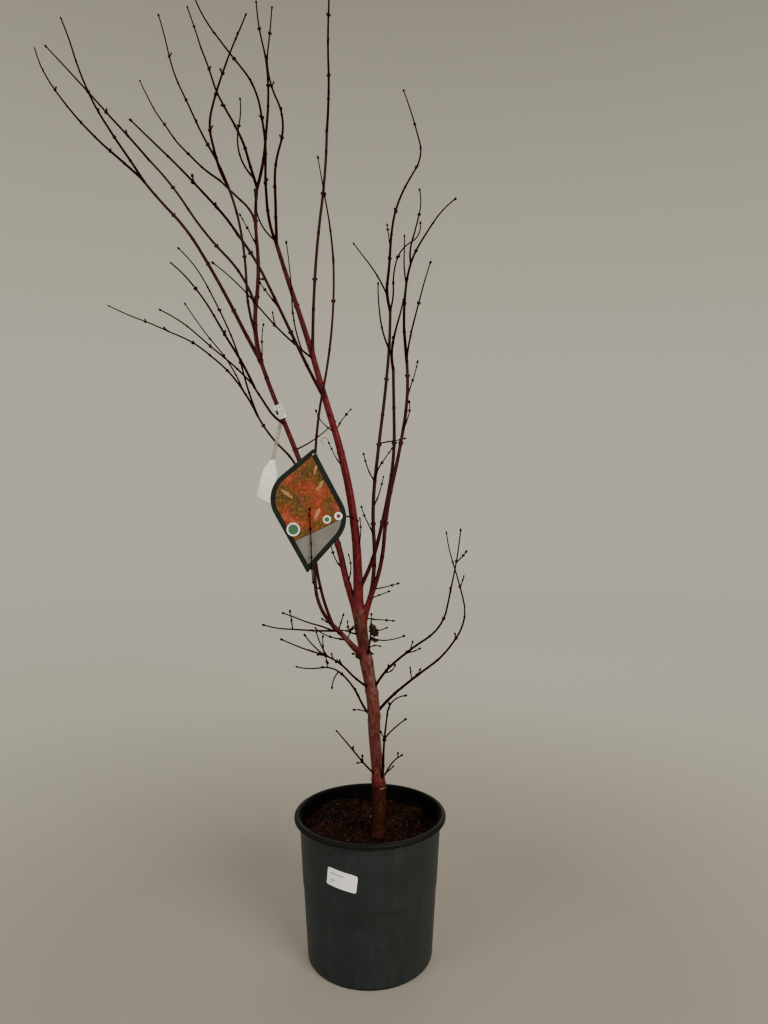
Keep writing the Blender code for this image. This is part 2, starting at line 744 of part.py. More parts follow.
def build_tag(limbs):
    whip = limbs[TAG_ON[0]]
    seat = whip.point(TAG_ON[1])
    thick = 2 * whip.radius(TAG_ON[1] / whip.length)
    corners = [
        (0.0, 0.0),
        (-TAG_LEFT[1], -TAG_LEFT[0]),
        (0.0, -TAG_LENGTH),
        (TAG_RIGHT[1], -TAG_RIGHT[0]),
    ]
    outline = rounded(corners, (TAG_TIP, TAG_SHOULDER, TAG_TIP, TAG_SHOULDER), (4, 9, 4, 9))
    board = slab(outline, TAG_THICKNESS)
    hole = cylinder(TAG_HOLE, 0.01, (0.0, 0.0, 0.0))
    for vertex in hole.vertices:
        x, y, z = vertex.co
        vertex.co = (x, -z, y - TAG_HOLE_DROP)
    board = combine(board, [hole], "DIFFERENCE")
    top = seat + Vector((-TAG_ASIDE, -thick / 2 - TAG_FORWARD, TAG_HOLE_DROP))
    put("hanging_tag", turned_flat(board, -TAG_TURN, top))
    # The tie runs through the hole and round the whip.
    aside = math.sqrt(TIE_RADIUS**2 - TIE_BEHIND**2)
    sway = TAG_HOLE_DROP * math.sin(math.radians(TAG_TURN))
    middle = top + Vector((aside - sway, TIE_BEHIND, -TAG_HOLE_DROP))
    points = []
    for step in range(24):
        angle = 2 * math.pi * step / 24
        points.append(middle + Vector((math.cos(angle), math.sin(angle), 0.0)) * TIE_RADIUS)
    put("tag_tie", tube(points, [TIE_GIRTH / 2] * 24, 6, closed=True))


def build_stem_label(limbs):
    bough = limbs[BAND_ON[0]]
    low = bough.point(BAND_ON[1] - BAND_LENGTH / 2)
    high = bough.point(BAND_ON[1] + BAND_LENGTH / 2)
    band = tube([low, (low + high) / 2, high], [1.0] * 3, 16)
    core = (high - low).normalized()
    across = core.cross(Vector((0.0, 1.0, 0.0))).normalized()
    deep = core.cross(across)
    for vertex in band.vertices:
        offset = vertex.co - low
        up = offset.dot(core) * core
        flat = across * (offset.dot(across) * BAND_WIDTH / 2)
        vertex.co = low + up + flat + deep * (offset.dot(deep) * BAND_DEPTH / 2)
    put("stem_label", combine(band, [bough.tube(GAP)], "DIFFERENCE"))
    neck, panel = TAIL_NECK_WIDTH / 2, TAIL_PANEL_WIDTH / 2
    foot = -TAIL_NECK_LENGTH - TAIL_PANEL_LENGTH
    corners = [
        (neck, 0.0),
        (-neck, 0.0),
        (-neck * 0.8, -TAIL_NECK_LENGTH),
        (-panel, -TAIL_NECK_LENGTH - 0.030),
        (-panel, foot),
        (panel, foot - 0.004),
        (panel, -TAIL_NECK_LENGTH - 0.026),
        (neck * 0.8, -TAIL_NECK_LENGTH),
    ]
    tail = slab(corners, TAIL_THICKNESS)
    behind = BAND_DEPTH / 2 + TAIL_THICKNESS / 2 + GAP
    seat = bough.point(BAND_ON[1] - BAND_LENGTH / 2 + TAIL_LAP) + Vector((0.0, behind, 0.0))
    put("stem_label_tail", turned_flat(tail, -TAIL_TURN, seat))


def build_sticker():
    """A thin label that follows the pot's wall."""
    shell = bmesh.new()
    bmesh.ops.create_grid(shell, x_segments=10, y_segments=2, size=0.5)
    out = bmesh.ops.extrude_face_region(shell, geom=shell.faces[:])
    moved = [item for item in out["geom"] if isinstance(item, bmesh.types.BMVert)]
    bmesh.ops.translate(shell, verts=moved, vec=(0.0, 0.0, 1.0))
    turn = math.radians(STICKER_TURN)
    slope = (wall_radius(0.2) - wall_radius(0.15)) / 0.05
    for vertex in shell.verts:
        across, up = vertex.co.x * STICKER_WIDTH, vertex.co.y * STICKER_HEIGHT
        height = STICKER_MIDDLE + across * math.sin(turn) + up * math.cos(turn)
        out = GAP + 0.0001 + vertex.co.z * STICKER_THICKNESS
        radius = wall_radius(STICKER_MIDDLE) + slope * (height - STICKER_MIDDLE) + out
        arc = across * math.cos(turn) - up * math.sin(turn)
        angle = math.radians(STICKER_AROUND) + arc / radius
        vertex.co = (radius * math.sin(angle), -radius * math.cos(angle), height)
    mesh = bpy.data.meshes.new("sticker")
    shell.to_mesh(mesh)
    shell.free()
    put("pot_sticker", weld(mesh))


clear_scene()
PLANT = make_collection("Potted_Japanese_Maple", bpy.context.scene.collection)
CUTTERS = make_collection("Cutters", bpy.context.scene.collection)
build_pot()
build_mix()
LIMBS = {"trunk": build_trunk()}
build_boughs(LIMBS)
build_masses(LIMBS)
build_tag(LIMBS)
build_stem_label(LIMBS)
build_sticker()
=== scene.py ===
"""A young Japanese maple, bare in winter, in its nursery pot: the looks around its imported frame.

The limbs are grown again by the rule of the part's source: each row of habits says what carries a
limb, how far along it starts, how long and thick it is and how it leans. Boughs get bark with
relief and filleted forks, masses get their spurs, finer twigs and buds in opposite pairs, and the
pot, the mix, the tag and the labels are surfaces worked out from the same sizes as the solids.
"""

from __future__ import annotations

import json
import logging
import math
import random
from collections.abc import Callable
from dataclasses import dataclass, field
from enum import Enum
from functools import partial

import bmesh
import bpy
import numpy as np
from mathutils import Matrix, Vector

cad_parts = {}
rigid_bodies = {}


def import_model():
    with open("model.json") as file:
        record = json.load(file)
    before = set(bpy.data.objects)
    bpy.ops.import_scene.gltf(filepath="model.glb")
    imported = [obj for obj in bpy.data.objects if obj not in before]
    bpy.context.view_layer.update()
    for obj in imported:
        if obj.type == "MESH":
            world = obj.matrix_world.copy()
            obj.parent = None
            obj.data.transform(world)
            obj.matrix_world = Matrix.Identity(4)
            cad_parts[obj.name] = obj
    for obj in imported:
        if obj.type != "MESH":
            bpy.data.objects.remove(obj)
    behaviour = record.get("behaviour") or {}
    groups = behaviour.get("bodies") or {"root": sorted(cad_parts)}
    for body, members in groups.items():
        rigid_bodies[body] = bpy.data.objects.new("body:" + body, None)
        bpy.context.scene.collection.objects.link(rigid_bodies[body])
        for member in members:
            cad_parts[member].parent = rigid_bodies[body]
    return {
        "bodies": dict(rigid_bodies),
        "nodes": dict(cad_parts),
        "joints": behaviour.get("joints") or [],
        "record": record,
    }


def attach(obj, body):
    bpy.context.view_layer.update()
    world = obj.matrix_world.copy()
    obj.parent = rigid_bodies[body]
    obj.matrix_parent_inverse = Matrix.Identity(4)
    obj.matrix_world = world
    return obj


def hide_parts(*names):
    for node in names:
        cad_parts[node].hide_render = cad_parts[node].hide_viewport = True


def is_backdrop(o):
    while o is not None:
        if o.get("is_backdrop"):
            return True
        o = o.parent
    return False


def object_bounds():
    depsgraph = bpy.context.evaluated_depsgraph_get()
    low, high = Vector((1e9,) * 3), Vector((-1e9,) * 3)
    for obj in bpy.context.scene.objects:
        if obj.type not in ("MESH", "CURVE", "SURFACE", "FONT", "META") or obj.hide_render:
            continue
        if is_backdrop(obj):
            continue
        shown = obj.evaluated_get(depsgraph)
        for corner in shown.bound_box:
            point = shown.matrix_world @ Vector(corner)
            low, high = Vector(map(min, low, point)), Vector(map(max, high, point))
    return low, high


Array = np.ndarray
Material = bpy.types.Material
Mesh = bpy.types.Mesh
Socket = bpy.types.NodeSocket
Girths = tuple[tuple[float, float], ...]
LOG = logging.getLogger("maple")
MM = 0.001


# Habits: the limbs' sizes.


@dataclass(frozen=True)
class Habit:
    """How one limb grows from the piece that carries it.

    Attributes:
        parent: the piece that carries it; "stem" is the leading stem of its own mass.
        at: how far along that piece it starts, in metres.
        length: its length, in metres.
        base: its girth at the base, in millimetres.
        tip: its girth at the tip, in millimetres.
        leans: degrees to the right of upright, evenly spaced from base to tip.
        away: degrees away from the front, evenly spaced from base to tip.
        fuller: how much thicker than its solid its skin is drawn, as bark and buds fill it out.
    """

    parent: str
    at: float
    length: float
    base: float
    tip: float
    leans: tuple[int, ...]
    away: tuple[int, ...]
    fuller: float = 1.0


BOUGHS: dict[str, Habit] = {
    "bough_centre": Habit("trunk", 0.335, 0.565, 13.5, 6, (1, -4, -11, -17, -16, -19, -17), (-1, -1)),
    "bough_left": Habit("trunk", 0.325, 0.435, 9.8, 6.2, (-24, -12, -30, -22, -23, -19), (12, 4), 1.06),
    "bough_left_outer": Habit(
        "bough_left", 0.435, 0.450, 4.6, 3.2, (-32, -28, -30, -32, -43, -38), (27, 9), 1.42
    ),
    "bough_left_upper": Habit("bough_left", 0.435, 0.300, 5.8, 3.8, (-16, 5, -7, 4), (9, 9), 1.30),
    "bough_leader": Habit("bough_centre", 0.390, 0.320, 4.8, 3.8, (1, 4, 8, 1), (-10, -3)),
    "bough_centre_left": Habit(
        "bough_centre", 0.320, 0.260, 3.8, 2.8, (-30, -26, -25, -26, -39), (-34, -11), 1.34
    ),
    "bough_front": Habit("trunk", 0.265, 0.075, 8.4, 6.6, (-51, -37, -46), (-35, -12)),
    "bough_front_whip": Habit("bough_front", 0.075, 0.525, 4.6, 3.0, (-23, -8, 2, 4, 12, 5, -2), (-7, -7)),
    "bough_front_left": Habit(
        "bough_front", 0.070, 0.380, 4.0, 2.6, (-52, -5, -11, -8, -47, -28), (23, 8), 1.35
    ),
    "bough_right": Habit("trunk", 0.305, 0.050, 8.6, 7.2, (13, 18), (-4, -1), 1.16),
    "bough_right_back": Habit("bough_right", 0.050, 0.460, 5.2, 4.0, (11, -4, 6, 7, 5, 0), (9, 9), 1.16),
    "bough_right_outer": Habit("bough_right", 0.050, 0.360, 5.2, 3.8, (23, 4, 13, 9, -4), (0, 0), 1.22),
    "bough_right_front": Habit(
        "bough_centre", 0.030, 0.335, 5.0, 3.6, (29, 14, 10, -1, -1), (-15, -5), 1.20
    ),
    "bough_left_inner": Habit(
        "bough_left_upper", 0.045, 0.225, 3.6, 3.2, (-18, 1, -8, -22), (-20, -7), 1.18
    ),
    "bough_left_far": Habit(
        "bough_left_upper", 0.090, 0.280, 3.2, 2.4, (-15, -45, -33, -45), (-9, -3), 1.38
    ),
    "bough_left_back": Habit("bough_left_upper", 0.230, 0.125, 3.2, 2.8, (-9, -44, -44), (27, 9), 1.28),
    "bough_left_mid": Habit("bough_left", 0.325, 0.075, 3.4, 3.0, (-66, -31, -33), (-43, -14), 1.20),
}

# Each mass of twigs grows from one leading stem ...
TWIG_STEMS: dict[str, Habit] = {
    "twigs_centre_left_fork": Habit(
        "bough_centre", 0.565, 0.350, 3.6, 1.4, (-25, 1, 2, -8, -40, -41, -17), (-23, -8), 1.28
    ),
    "twigs_centre_right_fork": Habit(
        "bough_centre", 0.565, 0.385, 3.8, 1.5, (0, -5, 16, -26, 4, 4), (5, 5), 1.25
    ),
    "twigs_leader": Habit("bough_leader", 0.320, 0.355, 3.6, 1.5, (5, -2, 2, 3, -2), (1, 1), 1.06),
    "twigs_centre_left": Habit(
        "bough_centre_left", 0.260, 0.185, 2.6, 1.3, (-33, -49, -49, -53, -53), (-39, -39), 1.50
    ),
    "twigs_centre_low": Habit(
        "bough_centre", 0.385, 0.200, 2.6, 1.3, (-62, -47, -42, -57), (-44, -15), 1.25
    ),
    "twigs_left_outer_a": Habit(
        "bough_left_outer", 0.450, 0.355, 2.8, 1.3, (-47, -48, -41, -34, -18), (9, 9), 1.70
    ),
    "twigs_left_outer_b": Habit(
        "bough_left_outer", 0.440, 0.285, 2.6, 1.3, (-32, -34, -32, -21, -15, -22), (-22, -7), 1.80
    ),
    "twigs_left_upper_a": Habit(
        "bough_left_upper", 0.300, 0.380, 3.2, 1.3, (-17, -18, -31, -19, -20, -18), (15, 5), 1.58
    ),
    "twigs_left_upper_b": Habit(
        "bough_left_upper", 0.300, 0.300, 3.4, 1.3, (17, 6, 2, -13, -4), (-4, -4), 1.58
    ),
    "twigs_left_inner_a": Habit(
        "bough_left_inner", 0.225, 0.255, 2.9, 1.3, (-32, -15, -11, 17, 21, 24, 28, 25), (-9, -9), 1.55
    ),
    "twigs_left_inner_b": Habit(
        "bough_left_inner", 0.220, 0.330, 2.6, 1.3, (-19, -30, -25, -25, -13, -18), (13, 4), 1.45
    ),
    "twigs_left_back": Habit(
        "bough_left_back", 0.125, 0.280, 2.5, 1.2, (-52, -44, -35, -31, -23), (15, 15), 1.55
    ),
    "twigs_left_far": Habit(
        "bough_left_far", 0.280, 0.205, 2.3, 1.2, (-41, -44, -44, -44, -45), (-17, -17), 1.58
    ),
    "twigs_left_mid": Habit(
        "bough_left_mid", 0.075, 0.215, 2.8, 1.3, (-24, -28, -29, -30, -39, -54), (-19, -19), 1.55
    ),
    "twigs_front_left_a": Habit(
        "bough_front_left", 0.380, 0.330, 2.4, 1.2, (-26, -39, -52, -66, -67, -64), (8, 8), 1.50
    ),
    "twigs_front_left_b": Habit(
        "bough_front_left", 0.375, 0.285, 2.3, 1.2, (-21, -12, -23, -28, -47), (-17, -6), 1.50
    ),
    "twigs_front_whip": Habit("bough_front_whip", 0.525, 0.135, 2.8, 1.3, (-4, -10, -10), (-8, -8), 1.05),
    "twigs_right_back": Habit(
        "bough_right_back", 0.460, 0.400, 3.4, 1.3, (-16, 7, 2, 9, 23, 31, -12, -17, -17), (7, 7), 1.45
    ),
    "twigs_right_front": Habit(
        "bough_right_front", 0.335, 0.100, 3.0, 1.3, (-14, 9, 18, 11), (-15, -15), 1.50
    ),
    "twigs_right_outer": Habit(
        "bough_right_outer", 0.360, 0.260, 3.4, 1.3, (-6, -4, 3, 12, 31, 36, 57), (-7, -7), 1.45
    ),
    "twigs_low_right_a": Habit("trunk", 0.210, 0.300, 3.0, 1.2, (23, 44, 57, 11, 10, 5), (-18, -6), 1.42),
    "twigs_low_right_b": Habit(
        "trunk", 0.175, 0.350, 3.4, 1.2, (38, 55, 56, 36, -10, -19, -4), (17, 6), 1.36
    ),
    "twigs_low_left_a": Habit("trunk", 0.215, 0.175, 2.6, 1.2, (-48, -39, -69, -62), (-37, -12), 1.48),
    "twigs_low_left_b": Habit("trunk", 0.170, 0.170, 2.6, 1.2, (-52, -28, -50, -103, -77), (33, 11), 1.55),
    "twigs_low_upright": Habit("trunk", 0.070, 0.170, 2.6, 1.2, (18, 1, 5, 7, 90), (-20, -7), 1.58),
    "twigs_low_left_c": Habit("trunk", 0.085, 0.110, 2.0, 1.2, (-38, -35, -38), (-30, -10), 1.62),
    "twigs_low_right_c": Habit("trunk", 0.075, 0.060, 2.0, 1.2, (47, 34, 72), (42, 14), 1.60),
    "twigs_front_low": Habit("bough_front", 0.065, 0.120, 2.2, 1.2, (-81, -82, -84, -67), (-42, -14), 1.45),
    "twigs_collar_right": Habit("trunk", 0.260, 0.085, 2.4, 1.2, (16, 5, 0), (-36, -12), 1.25),
    "twigs_left_low": Habit("bough_left", 0.280, 0.080, 2.2, 1.2, (66, 53, 43), (5, 2), 1.25),
}

# ... and some have side shoots, each set along that stem.
SIDE_SHOOTS: dict[str, tuple[Habit, ...]] = {
    "twigs_centre_left_fork": (Habit("stem", 0.005, 0.080, 2.2, 1.3, (-64, -32, -5, -1), (-42, -14)),),
    "twigs_centre_low": (Habit("stem", 0.025, 0.160, 2.0, 1.2, (-20, -1, -10), (-6, -2)),),
    "twigs_left_upper_a": (Habit("stem", 0.020, 0.130, 2.2, 1.2, (-50, -14, 15, -7), (-18, -6)),),
    "twigs_left_mid": (Habit("stem", 0.005, 0.175, 2.0, 1.2, (-43, -50, -50, -67), (-42, -14)),),
    "twigs_front_left_a": (Habit("stem", 0.045, 0.210, 1.8, 1.2, (-25, -41, -33), (28, 9)),),
    "twigs_right_back": (
        Habit("stem", 0.025, 0.125, 2.2, 1.2, (-19, -26, -35, -35), (30, 10)),
        Habit("stem", 0.000, 0.150, 2.2, 1.2, (20, -3, 15, 65, -17), (-20, -7)),
    ),
    "twigs_right_front": (Habit("stem", 0.020, 0.110, 2.0, 1.2, (-25, -9, 2), (7, 2)),),
    "twigs_right_outer": (
        Habit("stem", 0.005, 0.145, 2.2, 1.2, (8, 14, 15, 20), (-32, -11)),
        Habit("stem", 0.145, 0.135, 2.2, 1.2, (-8, 16, 13, -12), (23, 8)),
        Habit("stem", 0.115, 0.070, 1.8, 1.2, (-14, 1, -1), (-29, -10)),
    ),
    "twigs_low_left_a": (
        Habit("stem", 0.105, 0.045, 1.6, 1.2, (-50, -32), (-21, -7)),
        Habit("stem", 0.100, 0.045, 1.6, 1.2, (-44, -14), (41, 14)),
    ),
    "twigs_low_left_b": (Habit("stem", 0.095, 0.030, 1.6, 1.2, (-136, -183), (-7, -2)),),
    "twigs_low_upright": (Habit("stem", 0.085, 0.045, 1.6, 1.2, (39, 57), (0, 0)),),
    "twigs_front_low": (Habit("stem", 0.010, 0.080, 1.9, 1.2, (-65, -76, -67, -72), (1, 0)),),
    "twigs_collar_right": (
        Habit("stem", 0.045, 0.055, 1.8, 1.2, (116, 81, 63), (-17, -6)),
        Habit("stem", 0.055, 0.030, 1.6, 1.2, (86, 60), (-36, -12)),
    ),
}

# Finer twigs, too slight for the solids.
FINE_TWIGS: tuple[Habit, ...] = (
    Habit("bough_centre", 0.270, 0.048, 1.6, 1.0, (-61, -44, -12), (-22, -7)),
    Habit("bough_centre", 0.270, 0.047, 1.6, 1.0, (17, 34, 44), (18, 6)),
    Habit("bough_centre", 0.215, 0.049, 1.5, 1.0, (-48, -27, -22), (-25, -8)),
    Habit("bough_centre", 0.140, 0.024, 1.6, 1.1, (-71, -77), (-93, -31)),
    Habit("bough_centre", 0.130, 0.012, 1.6, 1.1, (48, 47), (-47, -16)),
    Habit("bough_centre", 0.090, 0.054, 1.8, 1.1, (21, -11), (-19, -6)),
    Habit("bough_left", 0.055, 0.050, 1.8, 1.1, (27, -22), (-26, -9)),
    Habit("bough_left", 0.075, 0.060, 1.8, 1.1, (-49, -19, -8), (14, 5)),
    Habit("bough_right_back", 0.180, 0.051, 2.0, 1.1, (-37, -19, -12), (20, 7)),
    Habit("bough_right_back", 0.180, 0.061, 2.0, 1.1, (8, 35, 36), (-17, -6)),
    Habit("bough_right_back", 0.140, 0.052, 1.9, 1.1, (31, 16, 12), (-17, -6)),
    Habit("bough_right_back", 0.095, 0.052, 1.9, 1.1, (-20, -28, -12), (-20, -7)),
    Habit("bough_right_back", 0.240, 0.047, 1.9, 1.1, (75, 80, 73), (26, 9)),
    Habit("bough_right_outer", 0.305, 0.064, 1.8, 1.1, (14, 19, 10), (13, 4)),
    Habit("bough_right_outer", 0.255, 0.050, 1.8, 1.1, (21, 19, -16), (-21, -7)),
    Habit("bough_right_outer", 0.015, 0.041, 1.6, 1.1, (80, 71), (-13, -4)),
    Habit("bough_right_outer", 0.000, 0.035, 1.6, 1.1, (68, 67), (-25, -8)),
    Habit("bough_right", 0.020, 0.048, 1.7, 1.1, (101, 90, 96), (-22, -7)),
    Habit("trunk", 0.310, 0.023, 2.0, 1.2, (-79, -100, -121), (-58, -19)),
    Habit("trunk", 0.300, 0.035, 1.8, 1.1, (-86, -70, -81), (-30, -10)),
    Habit("trunk", 0.315, 0.030, 1.7, 1.1, (-89, -127, -94), (-48, -16)),
    Habit("trunk", 0.300, 0.043, 1.5, 1.0, (-91, -77, -9, 6), (-40, -13)),
    Habit("trunk", 0.270, 0.024, 1.6, 1.1, (-95, -72), (-45, -15)),
    Habit("bough_front", 0.065, 0.030, 1.9, 1.2, (18, 18, 17), (-23, -8)),
    Habit("bough_front", 0.045, 0.022, 1.6, 1.1, (23, 25, 29), (41, 14)),
    Habit("bough_front_left", 0.010, 0.021, 1.6, 1.1, (-59, -50), (-44, -15)),
    Habit("bough_front", 0.045, 0.057, 1.9, 1.1, (-79, -74, -60, -39), (-31, -10)),
    Habit("bough_front_whip", 0.060, 0.140, 1.6, 1.0, (-80, -3, -1, -3, -1), (-85, -32, 9, -4, 5)),
    Habit("twigs_low_left_b", 0.015, 0.028, 1.7, 1.1, (-48, -95), (-39, -13)),
    Habit("twigs_low_left_a", 0.105, 0.032, 1.6, 1.0, (-11, -4, 10), (-22, -7)),
    Habit("twigs_low_left_a", 0.100, 0.018, 1.6, 1.0, (-80, -91), (29, 10)),
    Habit("twigs_low_left_a", 0.090, 0.013, 1.6, 1.0, (-10, -15), (-44, -15)),
    Habit("twigs_low_left_a", 0.105, 0.016, 1.6, 1.0, (134, 173), (-46, -15)),
    Habit("twigs_low_left_a", 0.075, 0.011, 1.6, 1.0, (-10, -16), (-52, -17)),
    Habit("twigs_low_left_b", 0.115, 0.015, 1.6, 1.0, (-7, -11), (-37, -12)),
    Habit("twigs_front_low", 0.075, 0.030, 1.6, 1.0, (-6, -8), (-17, -6)),
    Habit("twigs_low_right_b", 0.090, 0.017, 1.6, 1.0, (20, 26), (-43, -14)),
    Habit("twigs_low_right_a", 0.095, 0.016, 1.6, 1.0, (21, 17), (47, 16)),
    Habit("twigs_low_upright", 0.130, 0.016, 1.6, 1.0, (43, -40), (-32, -11)),
    Habit("twigs_low_left_a", 0.060, 0.020, 1.6, 1.0, (-45, -25), (-36, -12)),
    Habit("twigs_collar_right", 0.040, 0.014, 1.6, 1.0, (53, 30), (-37, -12)),
    Habit("twigs_low_right_a", 0.040, 0.026, 1.6, 1.1, (90, 3), (-33, -11)),
    Habit("twigs_low_right_b", 0.080, 0.023, 1.6, 1.1, (-8, -8), (-23, -8)),
    Habit("twigs_low_upright", 0.085, 0.014, 1.6, 1.0, (-31, -29), (25, 8)),
    Habit("twigs_low_left_c", 0.040, 0.016, 1.4, 1.0, (-4, -6), (-34, -11)),
    Habit("twigs_low_left_c", 0.040, 0.013, 1.4, 1.0, (-111, -99), (41, 14)),
    Habit("twigs_low_left_c", 0.065, 0.009, 1.4, 1.0, (-12, -10), (29, 10)),
    Habit("twigs_low_right_c", 0.020, 0.021, 1.5, 1.0, (40, 45), (-25, -8)),
    Habit("twigs_low_right_c", 0.050, 0.010, 1.4, 1.0, (4, 2), (54, 18)),
    Habit("twigs_collar_right", 0.025, 0.022, 1.6, 1.0, (41, 120), (-32, -11)),
    Habit("twigs_collar_right", 0.020, 0.014, 1.6, 1.0, (141, 132), (53, 18)),
    Habit("bough_left_upper", 0.195, 0.058, 1.8, 1.1, (-28, -28, -30), (-21, -7)),
    Habit("bough_left", 0.430, 0.063, 1.8, 1.1, (7, 0, 15), (-17, -6)),
    Habit("bough_centre_left", 0.150, 0.046, 1.8, 1.1, (-40, -36), (-19, -6)),
    Habit("twigs_right_back", 0.105, 0.039, 1.7, 1.1, (-9, -8), (-22, -7)),
)


# Meshes as whole arrays.


@dataclass
class Shell:
    """A mesh as whole arrays, before it goes into Blender.

    Attributes:
        points: places, one row of three per point, in metres.
        faces: four point numbers per face; a triangle ends in -1.
        slots: the number of the finish on each face.
        marks: values per point that a finish reads, by name.
    """

    points: Array
    faces: Array
    slots: Array
    marks: dict[str, Array] = field(default_factory=dict)


def unit(ways: Array) -> Array:
    """The same ways, each of length one."""
    return ways / np.linalg.norm(ways, axis=-1, keepdims=True)


def xyz(*parts: Array | float) -> Array:
    """Coordinates, spread to one shape, as places."""
    return np.stack(np.broadcast_arrays(*parts), -1)


def circle(count: int) -> Array:
    """Even angles all the way round, in radians."""
    return np.linspace(0, 2 * np.pi, count, endpoint=False)


def held(share: Array) -> Array:
    """The same numbers, held between 0 and 1."""
    return np.clip(share, 0, 1)


def bell(off: Array) -> Array:
    """A bell that is 1 in its middle: e to the power of minus the square."""
    return np.exp(-(off**2))


def joined(shells: list[Shell]) -> Shell:
    """Puts several shells into one, in order.

    Args:
        shells: the shells; those without a mark that another has get noughts for it.

    Returns:
        One shell with every point and face.
    """
    starts = np.cumsum([0] + [len(shell.points) for shell in shells])
    faces = [np.where(shell.faces < 0, -1, shell.faces + start) for shell, start in zip(shells, starts)]
    samples = {name: mark for shell in shells for name, mark in shell.marks.items()}
    marks: dict[str, Array] = {}
    for name in sorted(samples):
        none = [np.zeros((len(shell.points), *samples[name].shape[1:])) for shell in shells]
        marks[name] = np.concatenate([shell.marks.get(name, mark) for shell, mark in zip(shells, none)])
    points = np.concatenate([shell.points for shell in shells])
    return Shell(points, np.concatenate(faces), np.concatenate([shell.slots for shell in shells]), marks)


def skin(rings: Array, poles: bool = True, slot: int = 0) -> Shell:
    """Closes a grid of rings into one shell.

    The rings run counterclockwise about the way they advance, so the faces point outwards. With
    poles, one point at the middle of the first and of the last ring closes the ends; without,
    the last ring joins the first, as on a hoop.

    Args:
        rings: places, rings by points round by three.
        poles: whether the ends are closed by poles.
        slot: the finish of all its faces.

    Returns:
        The closed shell.
    """
    count, sides = rings.shape[:2]
    row = np.arange(count - 1 if poles else count)[:, None] * sides
    after = (row + sides) % (count * sides)
    here = np.arange(sides)
    ahead = (here + 1) % sides
    faces = np.stack([row + here, row + ahead, after + ahead, after + here], -1).reshape(-1, 4)
    points = rings.reshape(-1, 3)
    if poles:
        pole, top, none = len(points), (count - 1) * sides, np.full(sides, -1)
        low = np.stack([np.full(sides, pole), ahead, here, none], -1)
        high = np.stack([np.full(sides, pole + 1), top + here, top + ahead, none], -1)
        points = np.concatenate([points, rings[:1].mean(1), rings[-1:].mean(1)])
        faces = np.concatenate([faces, low, high])
    return Shell(points, faces, np.full(len(faces), slot))


def sheet(front: Array, back: Array, slot: int = 0) -> Shell:
    """A thin closed sheet: rings that run along each row of its front and home along its back."""
    return skin(np.concatenate([front, back[:, ::-1]], 1), slot=slot)


def stamped(pattern: Shell, turns: Array, sizes: Array, places: Array, slots: Array) -> Shell:
    """Many copies of one small shape: each is sized along its own axes, turned and put in place.

    Args:
        pattern: the shape, about the origin.
        turns: one three by three turn per copy, whose columns are its own axes.
        sizes: three sizes per copy.
        places: where each copy's origin goes.
        slots: the finish of each copy.

    Returns:
        All the copies as one shell.
    """
    scaled = pattern.points[None] * sizes[:, None, :]
    points = np.einsum("nij,nkj->nki", turns, scaled) + places[:, None, :]
    starts = (np.arange(len(places)) * len(pattern.points))[:, None, None]
    faces = np.where(pattern.faces[None] < 0, -1, pattern.faces[None] + starts)
    return Shell(points.reshape(-1, 3), faces.reshape(-1, 4), np.repeat(slots, len(pattern.faces)))


def mesh_of(name: str, shell: Shell, smooth: bool = True) -> Mesh:
    """Puts a shell into a Blender mesh, array by array.

    Args:
        name: the mesh's name.
        shell: what goes in.
        smooth: whether its faces are shaded smooth.

    Returns:
        The mesh, with the shell's marks as attributes of its points.
    """
    corners = shell.faces[shell.faces >= 0]
    sizes = (shell.faces >= 0).sum(1)
    mesh = bpy.data.meshes.new(name)
    mesh.vertices.add(len(shell.points))
    mesh.vertices.foreach_set("co", shell.points.astype(np.float32).ravel())
    mesh.loops.add(len(corners))
    mesh.loops.foreach_set("vertex_index", corners.astype(np.int32))
    mesh.polygons.add(len(sizes))
    mesh.polygons.foreach_set("loop_start", (np.cumsum(sizes) - sizes).astype(np.int32))
    mesh.polygons.foreach_set("material_index", shell.slots.astype(np.int32))
    mesh.polygons.foreach_set("use_smooth", np.full(len(sizes), smooth))
    mesh.update(calc_edges=True)
    for mark, values in shell.marks.items():
        kind, key = ("FLOAT_VECTOR", "vector") if values.ndim == 2 else ("FLOAT", "value")
        layer = mesh.attributes.new(mark, kind, "POINT")
        layer.data.foreach_set(key, values.astype(np.float32).ravel())
    mesh.validate()
    return mesh


def place_piece(name: str, made: Shell | Mesh, finishes: list[Material], slot: str, *nodes: str) -> None:
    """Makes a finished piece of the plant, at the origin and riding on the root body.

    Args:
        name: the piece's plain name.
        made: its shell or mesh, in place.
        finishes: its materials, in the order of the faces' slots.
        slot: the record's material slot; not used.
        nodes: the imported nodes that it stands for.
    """
    mesh = mesh_of(name, made) if isinstance(made, Shell) else made
    for finish in finishes:
        mesh.materials.append(finish)
    obj = bpy.data.objects.new(name, mesh)
    bpy.context.scene.collection.objects.link(obj)
    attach(obj, "root")
    if nodes:
        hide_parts(*nodes)
    triangles = sum(len(face.vertices) - 2 for face in mesh.polygons)
    LOG.info("%s: %d triangles, for %s", name, triangles, ", ".join(nodes) or "itself")


